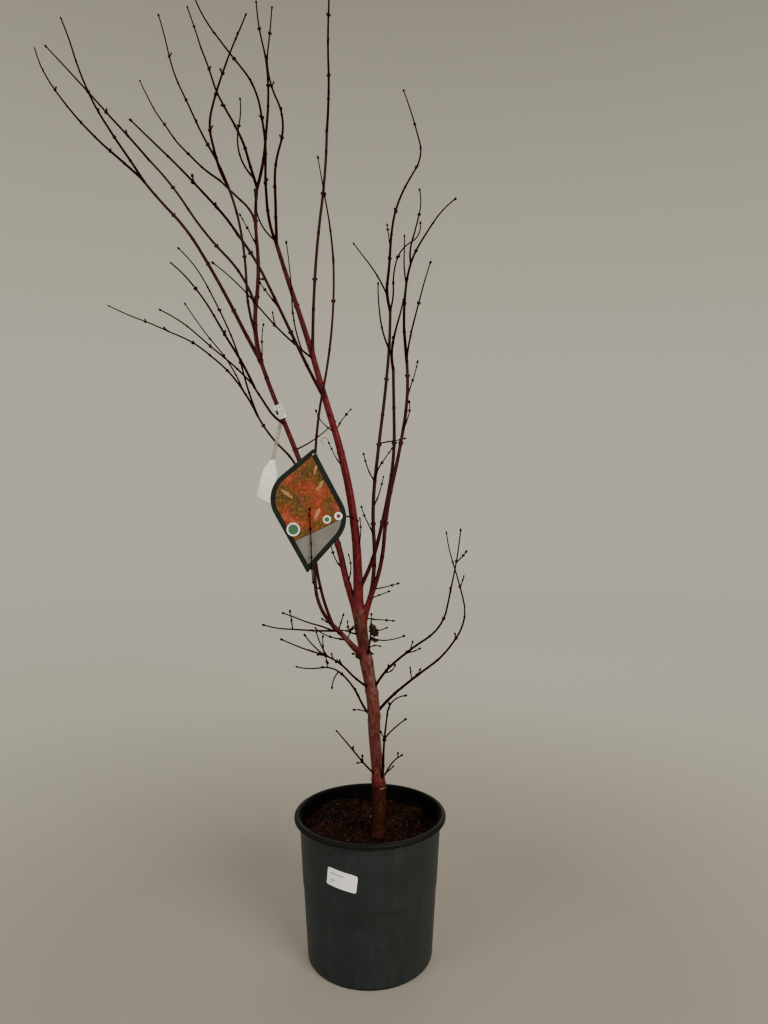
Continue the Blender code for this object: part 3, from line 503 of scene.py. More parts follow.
def cut_from(mesh: Mesh, cutters: list[Shell]) -> Mesh:
    """Cuts closed shells out of a mesh with one Boolean.

    Args:
        mesh: the mesh.
        cutters: what is cut out of it.

    Returns:
        The mesh that is left.
    """
    body = bpy.data.objects.new("body", mesh)
    tool = bpy.data.objects.new("tool", mesh_of("tool", joined(cutters), smooth=False))
    for obj in (body, tool):
        bpy.context.scene.collection.objects.link(obj)
    cut = body.modifiers.new("cut", "BOOLEAN")
    cut.operation, cut.object, cut.solver = "DIFFERENCE", tool, "EXACT"
    graph = bpy.context.evaluated_depsgraph_get()
    left = bpy.data.meshes.new_from_object(body.evaluated_get(graph), depsgraph=graph)
    for obj in (body, tool):
        bpy.data.objects.remove(obj)
    return left


def sharpened(mesh: Mesh, degrees: float) -> Mesh:
    """Marks a mesh's sharp edges, so that its flats look flat.

    Args:
        mesh: the mesh.
        degrees: an edge that bends at least this much is sharp.

    Returns:
        The same mesh.
    """
    shell = bmesh.new()
    shell.from_mesh(mesh)
    for edge in shell.edges:
        edge.smooth = edge.calc_face_angle(0.0) < math.radians(degrees)
    shell.to_mesh(mesh)
    shell.free()
    return mesh


def rod(radius: float, low: Array, high: Array, sides: int = 32) -> Shell:
    """A closed round rod, for cutting holes.

    Args:
        radius: its radius.
        low: one end's middle.
        high: the other's.
        sides: the facets round it.

    Returns:
        The rod.
    """
    way = unit(high - low)
    side = unit(np.cross(way, [0.3, 0.5, 0.81]))
    angle = circle(sides)[:, None]
    ring = radius * (np.cos(angle) * side + np.sin(angle) * np.cross(way, side))
    return skin(np.stack([ring + low, ring + high]))


def lathe(profile: Array, sides: int) -> Array:
    """Rings turned about the upright axis from rows of radius and height."""
    radius, angle = profile[:, :1], circle(sides)
    return xyz(radius * np.cos(angle), radius * np.sin(angle), profile[:, 1:])


def softened(corners: list[tuple[float, float, float]], steps: int = 6) -> Array:
    """A profile whose corners are rounded by short curves.

    Each corner is a radius, a height and how far from it the curve starts. The curve is the
    quadratic one from that far back, towards the corner, to that far ahead.

    Args:
        corners: (radius, height, rounding) in order, in metres.
        steps: the pieces of each curve.

    Returns:
        Rows of radius and height.
    """
    rows = [np.array(corners[0][:2])[None]]
    share = np.linspace(0, 1, steps + 1)[:, None]
    for before, here, after in zip(corners, corners[1:], corners[2:]):
        middle = np.array(here[:2])
        back, ahead = np.array(before[:2]) - middle, np.array(after[:2]) - middle
        reach = min(here[2], 0.48 * np.linalg.norm(back), 0.48 * np.linalg.norm(ahead))
        first, last = middle + unit(back) * reach, middle + unit(ahead) * reach
        rows.append(first * (1 - share) ** 2 + 2 * middle * share * (1 - share) + last * share**2)
    rows.append(np.array(corners[-1][:2])[None])
    return np.concatenate(rows)


def refined(profile: Array, longest: float) -> Array:
    """A profile parted evenly where it is coarse.

    Args:
        profile: rows of radius and height.
        longest: the longest stretch that is left.

    Returns:
        The same profile in more rows.
    """
    spans = np.linalg.norm(np.diff(profile, axis=0), axis=1)
    parts = np.maximum(1, np.ceil(spans / longest)).astype(int)
    rows = [
        np.linspace(start, end, count, endpoint=False)
        for start, end, count in zip(profile, profile[1:], parts)
    ]
    return np.concatenate([*rows, profile[-1:]])


def lattice(around: Array, along: Array, cells: int, seed: int) -> Array:
    """Smooth noise that closes round a limb.

    Numbers from -1 to 1 are dealt to the corners of a grid, `cells` to a turn and one to each
    unit along, and are joined between corners by the smooth step 3t^2 - 2t^3.

    Args:
        around: share of a turn.
        along: distance in units of the noise's own length.
        cells: corners in a turn.
        seed: which numbers are dealt.

    Returns:
        The noise, shaped as around and along together.
    """
    around, along = np.broadcast_arrays(around, along)
    dealt = np.random.default_rng(seed).uniform(-1, 1, (int(np.ceil(along.max())) + 2, cells))
    turn = (around % 1.0) * cells
    column, row = np.floor(turn).astype(int), np.floor(along).astype(int)
    across, up = smooth_step(turn - column), smooth_step(along - row)
    column, beside = column % cells, (column + 1) % cells
    low = dealt[row, column] * (1 - across) + dealt[row, beside] * across
    high = dealt[row + 1, column] * (1 - across) + dealt[row + 1, beside] * across
    return low * (1 - up) + high * up


def smooth_step(share: Array) -> Array:
    """The step from 0 to 1 that starts and ends level: 3t^2 - 2t^3."""
    return share**2 * (3 - 2 * share)


def unmarked(shells: list[Shell]) -> Shell:
    """Several shells in one, without their marks."""
    return joined([Shell(shell.points, shell.faces, shell.slots) for shell in shells])


# Growth: the rule of the part's source.

FINE_STEP = 0.005  # from place to place of a limb's path
MIX_TOP = 0.1897
GAP = 0.0003  # between touching solids
FOOT = (0.012, -0.030)
UPWARD = 0.12  # how much each step of a spur bends up
BUD_ROOM = 0.0022
TRUNK_LENGTH = 0.335
TRUNK_LEANS = (3, 0, -7, -1, -10, -10, -8)
TRUNK_AWAY = (4, 1)
TRUNK_GIRTHS: Girths = (
    (0.000, 0.0240),
    (0.010, 0.0205),
    (0.050, 0.0192),
    (0.080, 0.0208),
    (0.096, 0.0176),
    (0.130, 0.0166),
    (0.190, 0.0172),
    (0.236, 0.0176),
    (0.257, 0.0196),
    (0.275, 0.0172),
    (0.310, 0.0168),
    (0.335, 0.0152),
)


def between(values: Array, shares: Array) -> Array:
    """Values between those of an evenly spaced list, in straight steps.

    Args:
        values: the list.
        shares: how far along it, from 0 to 1.

    Returns:
        The value at each share.
    """
    values, shares = np.asarray(values, float), held(np.asarray(shares, float))
    index = np.minimum((shares * (len(values) - 1)).astype(int), len(values) - 2)
    part = shares * (len(values) - 1) - index
    part = part.reshape(part.shape + (1,) * (values.ndim - 1))
    return values[index] + (values[index + 1] - values[index]) * part


def grow(start: Array, length: float, leans: tuple[int, ...], away: tuple[int, ...]) -> Array:
    """A limb's path in even steps of about 5 mm.

    Each step heads where the lean and the away angle at its middle point: its three parts are
    sin(lean) cos(away), sin(away) and cos(lean) cos(away).

    Args:
        start: where it starts.
        length: its length in metres.
        leans: degrees to the right of upright, from base to tip.
        away: degrees away from the front, from base to tip.

    Returns:
        The path's places, from base to tip.
    """
    count = max(4, round(length / FINE_STEP))
    shares = (np.arange(count) + 0.5) / count
    lean, back = np.radians(between(leans, shares)), np.radians(between(away, shares))
    heading = xyz(np.sin(lean) * np.cos(back), np.sin(back), np.cos(lean) * np.cos(back))
    return np.concatenate([start[None], start + np.cumsum(heading * length / count, 0)])


@dataclass
class Limb:
    """A limb's path and girths.

    Attributes:
        path: evenly spaced places from base to tip.
        length: its length in metres.
        girths: rows of distance and girth, in metres.
        parent: the limb that carries it.
        fuller: how much thicker its skin is drawn than its girths.
        flare: how much thicker again it starts.
    """

    path: Array
    length: float
    girths: Girths
    parent: Limb | None = None
    fuller: float = 1.0
    flare: float = 0.0
    flare_reach: float = 0.035
    axis_reach: float = 0.004

    def point(self, distance: Array | float) -> Array:
        """The places at these distances along it."""
        return between(self.path, np.asarray(distance, float) / self.length)

    def smooth_point(self, distance: Array) -> Array:
        """Places on the smooth curve through the path: a cubic between its own points.

        Args:
            distance: distances along it.

        Returns:
            The places.
        """
        last = len(self.path) - 1
        place = held(np.asarray(distance, float) / self.length) * last
        index = np.minimum(place.astype(int), last - 1)
        t = (place - index)[:, None]
        before, here, after, beyond = (
            self.path[np.clip(index + step, 0, last)] for step in (-1, 0, 1, 2)
        )
        bend = 2 * before - 5 * here + 4 * after - beyond
        twist = 3 * (here - after) + beyond - before
        return here + 0.5 * t * (after - before + t * (bend + t * twist))

    def radius(self, distance: Array | float) -> Array:
        """Half the girth at these distances, in straight steps."""
        here, girth = np.array(self.girths).T
        return np.interp(distance, here, girth) / 2

    def drawn(self, distance: Array | float) -> Array:
        """The radius that its skin is drawn at."""
        flare = 1 + self.flare * bell(np.asarray(distance) / self.flare_reach)
        return self.radius(distance) * self.fuller * flare

    def radii(self) -> Array:
        """Half the girth at each place of the path."""
        return self.radius(np.linspace(0, self.length, len(self.path)))

    def axes(self, distance: Array | float) -> tuple[Array, Array, Array]:
        """The limb's own axes at these distances.

        Along is the way it runs over 8 mm; side is along crossed with the way to the back, and
        across is along crossed with side.

        Args:
            distance: distances along it.

        Returns:
            Unit rows for along, side and across.
        """
        distance = np.atleast_1d(np.asarray(distance, float))
        along = unit(self.point(distance + self.axis_reach) - self.point(distance - self.axis_reach))
        side = unit(np.cross(along, [0.0, 1.0, 0.0]))
        return along, side, np.cross(along, side)

    def out_at(self, distance: float, turn: float) -> tuple[Array, Array]:
        """The way it runs at a distance, and the way out of it at an angle round it."""
        along, side, across = (axis[0] for axis in self.axes(distance))
        return along, side * math.cos(turn) + across * math.sin(turn)


def kinked(path: Array, length: float, size: float, seed: int, spacing: float = 0.042) -> Array:
    """The path with a slight kink at each node, to one side and the other by turns.

    Args:
        path: evenly spaced places.
        length: its length.
        size: how far a node stands off the path at most.
        seed: for the side and the size of each kink.
        spacing: from node to node.

    Returns:
        The kinked path; its two ends stay.
    """
    dice = np.random.default_rng(seed)
    knots = np.linspace(0, 1, max(2, round(length / spacing)) + 1)
    side = unit(dice.normal(size=3) + dice.normal(size=(len(knots), 3)) * 0.4)
    swing = size * dice.uniform(0.4, 1.0, len(knots)) * (-1.0) ** np.arange(len(knots))
    swing[[0, -1]] = 0.0
    share = np.linspace(0, 1, len(path))
    return path + np.stack([np.interp(share, knots, swing * side[:, axis]) for axis in range(3)], -1)


def limb_of(habit: Habit, parent: Limb, kink: float = 0.0) -> Limb:
    """Grows one row of habits.

    Args:
        habit: the row.
        parent: the limb that carries it.
        kink: the size of its kinks.

    Returns:
        The limb.
    """
    path = grow(parent.point(habit.at), habit.length, habit.leans, habit.away)
    path = kinked(path, habit.length, kink, round(1e5 * (habit.at + habit.length)))
    girths = ((0.0, habit.base * MM), (habit.length, habit.tip * MM))
    return Limb(path, habit.length, girths, parent, habit.fuller)


@dataclass(frozen=True)
class Bearing:
    """One node of a limb: where its pair of buds stands.

    Attributes:
        limb: the limb that bears it.
        distance: how far along the limb.
        turn: the angle round the limb of its first bud, in radians.
        sides: which of the two buds it has; a spur takes one's place.
        size: the buds' length, in metres.
    """

    limb: Limb
    distance: float
    turn: float
    sides: tuple[int, ...]
    size: float


@dataclass
class SpurRule:
    """The short side twigs that every shoot of a mass bears at its nodes, and the finer ones.

    Attributes:
        seed: for every dice of the plant.
        spacing: from node to node.
        jitter: how far a node strays from its place, as a share of the spacing.
        swing: how far its turn strays from the quarter turn, in degrees.
        share: how many nodes bear a spur.
        fine_share: how many of the rest bear a finer one; low_share is for the lowest masses.
        lengths: the least and most of a spur's length; fine_lengths is for the finer ones.
        girth: at its base and at its tip.
        angle: from the shoot's own way, in degrees, and angle_swing is how far that strays.
        space: how far from its mass's shoots a spur may reach.
        clear: how far it stays from all else.
        steps: the steps that it grows in.
        bud_sizes: the least and most of a bud's length.
    """

    seed: int = 23
    spacing: float = 0.042
    jitter: float = 0.15
    swing: float = 25.0
    share: float = 0.42
    fine_share: float = 0.25
    low_share: float = 0.85
    lengths: tuple[float, float] = (0.010, 0.026)
    fine_lengths: tuple[float, float] = (0.004, 0.009)
    girth: tuple[float, float] = (0.0016, 0.0010)
    angle: float = 38.0
    angle_swing: float = 8.0
    space: float = 0.035
    clear: float = 0.003
    steps: int = 4
    bud_sizes: tuple[float, float] = (0.0034, 0.0047)

    def spur(self, shoot: Limb, distance: float, turn: float, angle: float, length: float) -> Limb:
        """One spur, in even steps that each bend a little upward.

        Args:
            shoot: the shoot that bears it.
            distance: how far along that shoot.
            turn: the angle round the shoot, in radians.
            angle: the angle from the shoot's own way, in radians.
            length: its length.

        Returns:
            The spur as a limb.
        """
        along, out = shoot.out_at(distance, turn)
        ahead = along * math.cos(angle) + out * math.sin(angle)
        path = [shoot.point(distance)]
        for _ in range(self.steps):
            ahead = unit(ahead + np.array([0.0, 0.0, UPWARD]))
            path.append(path[-1] + ahead * (length / self.steps))
        return Limb(np.array(path), length, ((0.0, self.girth[0]), (length, self.girth[1])), shoot)

    def keeps_space(self, twig: Limb, own: list[Limb], strangers: list[Limb]) -> bool:
        """Whether a twig stays in its mass's space and clear of all else.

        Args:
            twig: the twig.
            own: the mass's shoots.
            strangers: all else.

        Returns:
            True if it does.
        """
        tips = twig.path[1:, None]
        home = np.concatenate([limb.path for limb in own])
        if (np.linalg.norm(tips - home, axis=-1).min(1) > self.space).any():
            return False
        places = np.concatenate([limb.path for limb in strangers])
        room = np.concatenate([limb.radii() for limb in strangers]) + self.clear + BUD_ROOM
        return not (np.linalg.norm(tips - places, axis=-1) < room).any()

    def spurs_of(
        self,
        shoots: list[Limb],
        strangers: list[Limb],
        chance: random.Random,
        finer: random.Random,
        reach: float,
    ) -> tuple[list[Limb], list[Bearing]]:
        """The spurs of one mass, and the nodes of its shoots.

        Args:
            shoots: the mass's leading stem and its side shoots.
            strangers: every limb that isn't the mass's own.
            chance: the source's dice, thrown in the source's order.
            finer: the dice for what is finer than the source.
            reach: how much of its length a twig keeps; high in the crown it stays short.

        Returns:
            The twigs that the shoots bear, and the shoots' nodes.
        """
        kept: list[Limb] = []
        nodes: list[Bearing] = []
        for shoot in shoots:
            for number in range(1, int(shoot.length / self.spacing)):
                distance = self.spacing * (number + chance.uniform(-self.jitter, self.jitter))
                turn = math.radians(90 * number + chance.uniform(-self.swing, self.swing))
                angle = self.angle + chance.uniform(-self.angle_swing, self.angle_swing)
                angle = math.radians(angle)
                length = chance.uniform(*self.lengths)
                others = strangers + [limb for limb in shoots + kept if limb is not shoot]
                twig = None
                if chance.random() <= self.share:
                    longest = self.spur(shoot, distance, turn, angle, length)
                    if self.keeps_space(longest, shoots, others):
                        twig = self.spur(shoot, distance, turn, angle, length * reach)
                elif finer.random() < (self.fine_share if reach < 1 else self.low_share):
                    short = self.spur(shoot, distance, turn, angle, finer.uniform(*self.fine_lengths))
                    twig = short if self.keeps_space(short, shoots, others) else None
                kept += [twig] if twig else []
                sides = (1,) if twig else (0, 1)
                nodes.append(Bearing(shoot, distance, turn, sides, finer.uniform(*self.bud_sizes)))
        return kept, nodes


# Bark, buds and leaves.


class Wood(Enum):
    """How old a limb's bark is, which settles how finely its skin is drawn."""

    TRUNK = "trunk"
    BOUGH = "bough"
    TWIG = "twig"


@dataclass(frozen=True)
class SkinRule:
    """How a limb's skin is drawn.

    Attributes:
        facet: the width of a facet round the limb, in metres.
        fewest: the fewest facets round it.
        step: the distance from ring to ring.
        swell: how much thicker a node is, as a share of the radius.
        swell_length: the half length of a node's swelling.
        relief: the depth of the bark's ridges on a limb of 17 mm girth.
        trim: how far short of the limb's own tip the skin ends, which leaves room for buds.
    """

    facet: float
    fewest: int
    step: float
    swell: float
    swell_length: float
    relief: float
    trim: float


SKIN_RULES = {
    Wood.TRUNK: SkinRule(0.0008, 56, 0.0013, 0.04, 0.0030, 0.00026, 0.0),
    Wood.BOUGH: SkinRule(0.0010, 16, 0.0018, 0.20, 0.0019, 0.00022, 0.0),
    Wood.TWIG: SkinRule(0.0011, 9, 0.0040, 0.36, 0.0013, 0.0, 0.0046),
}
NODE_STATIONS = np.array([-2.6, -1.6, -0.9, -0.35, 0.0, 0.35, 0.9, 1.6, 2.6])
OLD_BELOW = 0.61  # the height below which bark ages
OLD_FADE = 0.15  # and over which it does
OLDEST = 0.62


def bare_end(limb: Limb, trim: float) -> float:
    """How far short of a limb's tip its skin ends, which its tip buds make up."""
    return min(trim, 0.45 * limb.length)


@dataclass
class LimbSkin:
    """The skin of one limb: a tube carried along its path.

    A point of the tube is the path's place plus the radius there times (cos a) side plus (sin a)
    across. The radius is the limb's own, plus a bell-shaped swelling at each node, plus ridges
    that run with the grain. Where a neighbour's surface is near, the point moves outwards by a
    quarter of the fillet's size times (1 - gap / size) squared, on both limbs alike, so the fork
    is one smooth form.
    """

    limb: Limb
    wood: Wood
    nodes: list[Bearing] = field(default_factory=list)
    neighbours: list[tuple[Limb, float]] = field(default_factory=list)
    seed: int = 0
    slot: int = 0

    def __post_init__(self) -> None:
        """Looks up how it is drawn, and where it ends."""
        self.rule = SKIN_RULES[self.wood]
        self.end = self.limb.length - bare_end(self.limb, self.rule.trim)
        self.tip = float(self.limb.drawn(self.end))

    def stations(self) -> Array:
        """The distances of its rings: even steps, closer together at each node and in the tip.

        Returns:
            The distances, in metres.
        """
        rule, end = self.rule, self.end
        even = np.linspace(0, end, max(3, math.ceil(end / rule.step)) + 1)
        foot = np.arange(0, min(0.010, end / 2), 0.0009)
        at = np.array([node.distance for node in self.nodes if self.wood is Wood.TWIG])
        near = (at[:, None] + NODE_STATIONS * rule.swell_length).ravel()
        every = np.unique(np.round(np.concatenate([even, near, foot]), 5))
        every = every[(every >= 0) & (every <= end - 1e-5)]
        apart = np.concatenate([[True], np.diff(every) > 0.00022])
        dome = end - self.tip * np.array([0.7, 0.35, 0.12, 0.0])
        return np.concatenate([every[apart & (every < end - 0.9 * self.tip)], dome])

    def swelling(self, distance: Array) -> Array:
        """The share by which nodes thicken the limb: a bell each, and a fine groove above it.

        Args:
            distance: distances along the limb.

        Returns:
            The share at each.
        """
        if not self.nodes:
            return np.zeros(len(distance))
        swell, at = self.rule.swell, np.array([node.distance for node in self.nodes])
        off = (distance[:, None] - at) / self.rule.swell_length
        each = swell * bell(off) - 0.25 * swell * bell((off - 1.7) / 0.4)
        return each.sum(1) * np.clip(0.0034 / self.limb.drawn(distance), 0.25, 1.0)

    def ridges(self, turn: Array, distance: Array, radius: Array) -> Array:
        """The bark's relief: long ridges, shorter ones on them, small warts and slow lumps.

        Args:
            turn: share of a turn.
            distance: distance along the limb.
            radius: the limb's radius there.

        Returns:
            The relief, in metres.
        """
        depth = self.rule.relief * radius[:, None] / 0.0085
        long = lattice(turn, distance / 0.060, 9, self.seed + 1)
        middle = lattice(turn, distance / 0.018, 22, self.seed + 2)
        small = lattice(turn, distance / 0.004, 34, self.seed + 3)
        lumps = lattice(turn, distance / 0.022, 4, self.seed + 4)
        return depth * (0.55 * long + 0.5 * middle + 0.3 * small + 0.9 * lumps)

    def extra(self, turn: Array, distance: Array) -> Array:
        """What is added to the radius here alone, in metres; nothing on a plain limb."""
        return np.zeros(np.broadcast(turn, distance).shape)

    def rings(self) -> tuple[Array, Array, Array]:
        """Works the skin out.

        Returns:
            The rings' places, their distances along the limb and the angle of each facet.
        """
        distance = self.stations()
        radius = self.limb.drawn(distance)
        short = held((distance - (self.end - self.tip)) / self.tip)
        dome = np.sqrt(np.maximum(1 - short**2, 0.02))
        widest = float(self.limb.drawn(0.0))
        sides = max(self.rule.fewest, round(2 * math.pi * widest / self.rule.facet))
        turn = np.arange(sides)[None] / sides
        wide = (radius * (1 + self.swelling(distance)) * dome)[:, None] + np.zeros((1, sides))
        if self.rule.relief:
            wide = wide + self.ridges(turn, distance[:, None], radius * dome)
        wide = wide + self.extra(turn, distance[:, None])
        _, side, across = self.limb.axes(distance)
        angle = 2 * np.pi * turn[..., None]
        out = np.cos(angle) * side[:, None] + np.sin(angle) * across[:, None]
        points = self.limb.smooth_point(distance)[:, None] + out * wide[..., None]
        for other, size in self.neighbours:
            points = self.filleted(points, out, other, size)
        return points, distance, 2 * np.pi * turn[0]

    @staticmethod
    def filleted(points: Array, out: Array, other: Limb, size: float) -> Array:
        """Moves the points outwards where a neighbour's surface is near.

        Args:
            points: the rings' places.
            out: the unit way outwards at each.
            other: the neighbour.
            size: the fillet's size.

        Returns:
            The moved points.
        """
        fine = np.arange(0, other.length, 0.0012)
        places, radii = other.smooth_point(fine), other.drawn(fine)
        middle = points.mean(1)
        width = np.linalg.norm(points - middle[:, None], axis=-1).max(1)
        apart = np.linalg.norm(middle[:, None] - places[None], axis=-1)
        close = apart < width[:, None] + radii[None] + size
        rows, columns = np.flatnonzero(close.any(1)), np.flatnonzero(close.any(0))
        moved = points.copy()
        if not len(rows):
            return moved
        for block in np.array_split(rows, max(1, len(rows) // 40)):
            ways = points[block][:, :, None] - places[columns]
            gap = (np.linalg.norm(ways, axis=-1) - radii[columns]).min(-1)
            near = held(1 - np.abs(gap) / size) ** 2
            moved[block] = points[block] + out[block] * (0.25 * size * near)[..., None]
        return moved

    def shell(self) -> Shell:
        """The closed skin with its marks.

        Returns:
            The skin: age falls with height, grain is a place that runs with the limb, scar is
            high at a node, and girth is the limb's.
        """
        points, distance, angle = self.rings()
        made = skin(points, slot=self.slot)
        radius, run = self.limb.drawn(distance)[:, None], distance[:, None] + 0.37 * self.seed
        low = held((OLD_BELOW - points[..., 2]) / OLD_FADE)
        scar = held(self.swelling(distance) / self.rule.swell)[:, None]
        marks = {
            "grain": xyz(radius * np.cos(angle), radius * np.sin(angle), run),
            "age": OLDEST * smooth_step(low),
            "scar": scar + 0 * low,
            "girth": 2 * radius + 0 * low,
        }
        for name, mark in marks.items():
            flat = mark.reshape(-1, *mark.shape[2:])
            made.marks[name] = np.concatenate([flat, flat[:1], flat[-1:]])
        return made


@dataclass
class TrunkSkin(LimbSkin):
    """The trunk's skin, with its graft union, the scar above it and the knots of old twigs.

    A knot is its distance along the trunk, its share of a turn round it and its height.
    """

    graft: float = 0.075
    fuller: float = 0.0007
    collar: float = 0.498
    bloom: float = 0.425
    knots: tuple[tuple[float, float, float], ...] = (
        (0.070, 0.48, 0.0017),
        (0.085, 0.06, 0.0010),
        (0.118, 0.30, 0.0008),
        (0.149, 0.66, 0.0009),
        (0.170, 0.94, 0.0012),
        (0.175, 0.54, 0.0013),
        (0.210, 0.46, 0.0012),
        (0.215, 0.07, 0.0012),
        (0.246, 0.78, 0.0011),
        (0.262, 0.40, 0.0013),
    )

    def extra(self, turn: Array, distance: Array) -> Array:
        """The graft's lip and groove, a slight flare and stoutness, and a knot at each old twig.

        The lip is a bell 6 mm long round the trunk, uneven round it; the groove is a narrow bell
        above it. A knot is a bell of its own height and about 4 mm across.

        Args:
            turn: share of a turn.
            distance: distance along the trunk.

        Returns:
            What is added to the radius, in metres.
        """
        uneven = lattice(turn, distance / 0.1, 7, 91)
        off = distance - self.graft - 0.0022 * uneven
        lip = 0.0004 * (1 + 0.5 * uneven) * bell(off / 0.0030)
        groove = -0.0007 * bell((off - 0.0032) / 0.0008)
        flare = 0.0010 * lattice(turn, np.array(0.5), 5, 7) * bell(distance / 0.012)
        stout = self.fuller * held((distance - 0.085) / 0.02) * held((0.285 - distance) / 0.03)
        added = lip + groove + flare + stout
        for height, around, size in self.knots:
            across = ((turn - around + 0.5) % 1.0 - 0.5) * 2 * np.pi * 0.0088
            reach = 0.0022 + size
            away = -((across / reach) ** 2) - ((distance - height) / (1.25 * reach)) ** 2
            added = added + size * np.exp(away)
        return added

    def shell(self) -> Shell:
        """The skin, browner at the collar, with grey bloom, and a painted highlight of grey up the right
        side, where the key light falls.

        The collar's age is a bell round its height. The bloom is even between the graft and the collar; a
        painted highlight is added to it, a bell round its own height that grows towards the right.

        Returns:
            The closed skin with its marks, and the bloom with its painted highlight as one more.
        """
        made = super().shell()
        up = made.points[:, 2]
        beside = made.points[:, 0] - np.interp(up, self.limb.path[:, 2], self.limb.path[:, 0])
        collar = bell((up - self.collar) / 0.030)
        made.marks["age"] = np.maximum(made.marks["age"], 1.05 * collar)
        # Painted highlight: grey that grows towards the trunk's right side, where the key light falls.
        streak = bell((up - self.bloom) / 0.038) * held(beside / 0.0075)
        low = held((up - 0.275) / 0.02) * held((0.56 - up) / 0.05)
        made.marks["bloom"] = held(0.30 * low + 0.9 * streak)
        return made


@dataclass
class BudRow:
    """Winter buds: small pointed ovals in opposite pairs, and twin buds at each tip."""

    half_widths: tuple[float, ...] = (0.18, 0.29, 0.34, 0.31, 0.23, 0.12, 0.03)
    heights: tuple[float, ...] = (0.0, 0.12, 0.30, 0.50, 0.70, 0.86, 0.96)
    sides: int = 7
    bend: float = 0.10
    lean: float = 30.0
    tip_lean: float = 9.0
    tip_plump: float = 0.82
    seat: float = 0.0003

    def pattern(self) -> Shell:
        """One bud of unit length: an oval turned about its axis, bent towards the limb."""
        rows = lathe(np.stack([self.half_widths, self.heights], -1), self.sides)
        rows[..., 0] -= self.bend * rows[..., 2] ** 2
        return skin(rows)

    def stood(self, rows: list[tuple[Array, Array, Array, float]], lean: float, plump: float = 1.0) -> Shell:
        """Stands a bud at each place, leaning out from the limb.

        Args:
            rows: for each bud its foot, the way the limb runs there, the way out of it and the
                bud's length.
            lean: degrees from the limb's way.
            plump: how much wider than usual they are.

        Returns:
            All the buds.
        """
        places, along, out, sizes = (np.array(column) for column in zip(*rows))
        angle = math.radians(lean)
        axis = along * math.cos(angle) + out * math.sin(angle)
        outward = out * math.cos(angle) - along * math.sin(angle)
        turns = np.stack([outward, np.cross(axis, outward), axis], -1)
        scale = sizes[:, None] * np.array([plump, plump, 1.0])
        return stamped(self.pattern(), turns, scale, places, np.zeros(len(places), int))

    def of_nodes(self, nodes: list[Bearing], lift: float) -> Shell:
        """The pairs of buds at these nodes.

        Args:
            nodes: the nodes.
            lift: the share of the radius at which a bud's foot stands.

        Returns:
            The buds.
        """
        rows = []
        for node in nodes:
            for side in node.sides:
                along, out = node.limb.out_at(node.distance, node.turn + math.pi * side)
                stand = float(node.limb.drawn(node.distance)) * lift
                rows.append((node.limb.point(node.distance) + out * stand, along, out, node.size))
        return self.stood(rows, self.lean)

    def of_tips(self, limbs: list[Limb], dice: random.Random) -> Shell:
        """Twin buds at the tip of each of these limbs, which reach its true length.

        Args:
            limbs: the limbs.
            dice: for the buds' turns.

        Returns:
            The buds.
        """
        rows = []
        for limb in limbs:
            bare = bare_end(limb, SKIN_RULES[Wood.TWIG].trim)
            turn = dice.uniform(0, math.pi)
            for half in (0, math.pi):
                along, out = limb.out_at(limb.length - bare, turn + half)
                foot = limb.point(limb.length - bare - 0.0004) + out * self.seat
                rows.append((foot, along, out, bare + self.seat))
        return self.stood(rows, self.tip_lean, self.tip_plump)


@dataclass
class Leaf:
    """A dead leaf left on the plant: a lobed blade, dried and rolled up.

    The blade is a grid: along runs from its foot to its tip, and across from edge to edge, half
    as wide as sin(pi along) to the power 0.6, cut into lobes by a wave. It is rolled about its
    long axis and creased by two waves, then given its thickness.
    """

    length: float
    width: float
    roll: float
    seed: int
    thickness: float = 0.00025

    def shell(self, foot: Array, way: tuple[float, float, float], turn: float) -> Shell:
        """The leaf, from its foot and the way it hangs.

        Args:
            foot: where it is held.
            way: the way it points.
            turn: its turn about that way, in radians.

        Returns:
            A closed thin shell.
        """
        u, v = np.linspace(0.0, 1.0, 22)[:, None], np.linspace(-1.0, 1.0, 15)[None]
        half = self.width / 2 * np.sin(np.pi * np.clip(u, 0.02, 0.98)) ** 0.6
        half = half * (1 + 0.20 * np.sin(9 * np.pi * u + 1.0))
        angle = self.roll * v * (0.6 + 0.4 * u)
        creases = 0.0006 * np.sin(5 * np.pi * u + 4 * v) + 0.0004 * np.sin(13 * v + 7 * u)
        creases = creases + 0.0003 * np.random.default_rng(self.seed).uniform(-1, 1, (22, 15))
        radius = half / self.roll + creases
        belly = radius * (1 - np.cos(angle)) + 0.004 * np.sin(2.4 * u)
        front = xyz(radius * np.sin(angle), belly, u * self.length)
        blade = sheet(front, front + [0.0, self.thickness, 0.0])
        axis = unit(np.array(way))
        side = unit(np.cross(axis, [0.31, 0.83, 0.46]))
        across = side * math.cos(turn) + np.cross(axis, side) * math.sin(turn)
        frame = np.stack([across, np.cross(axis, across), axis], -1)
        blade.points = blade.points @ frame.T + foot
        return blade


# The plant.


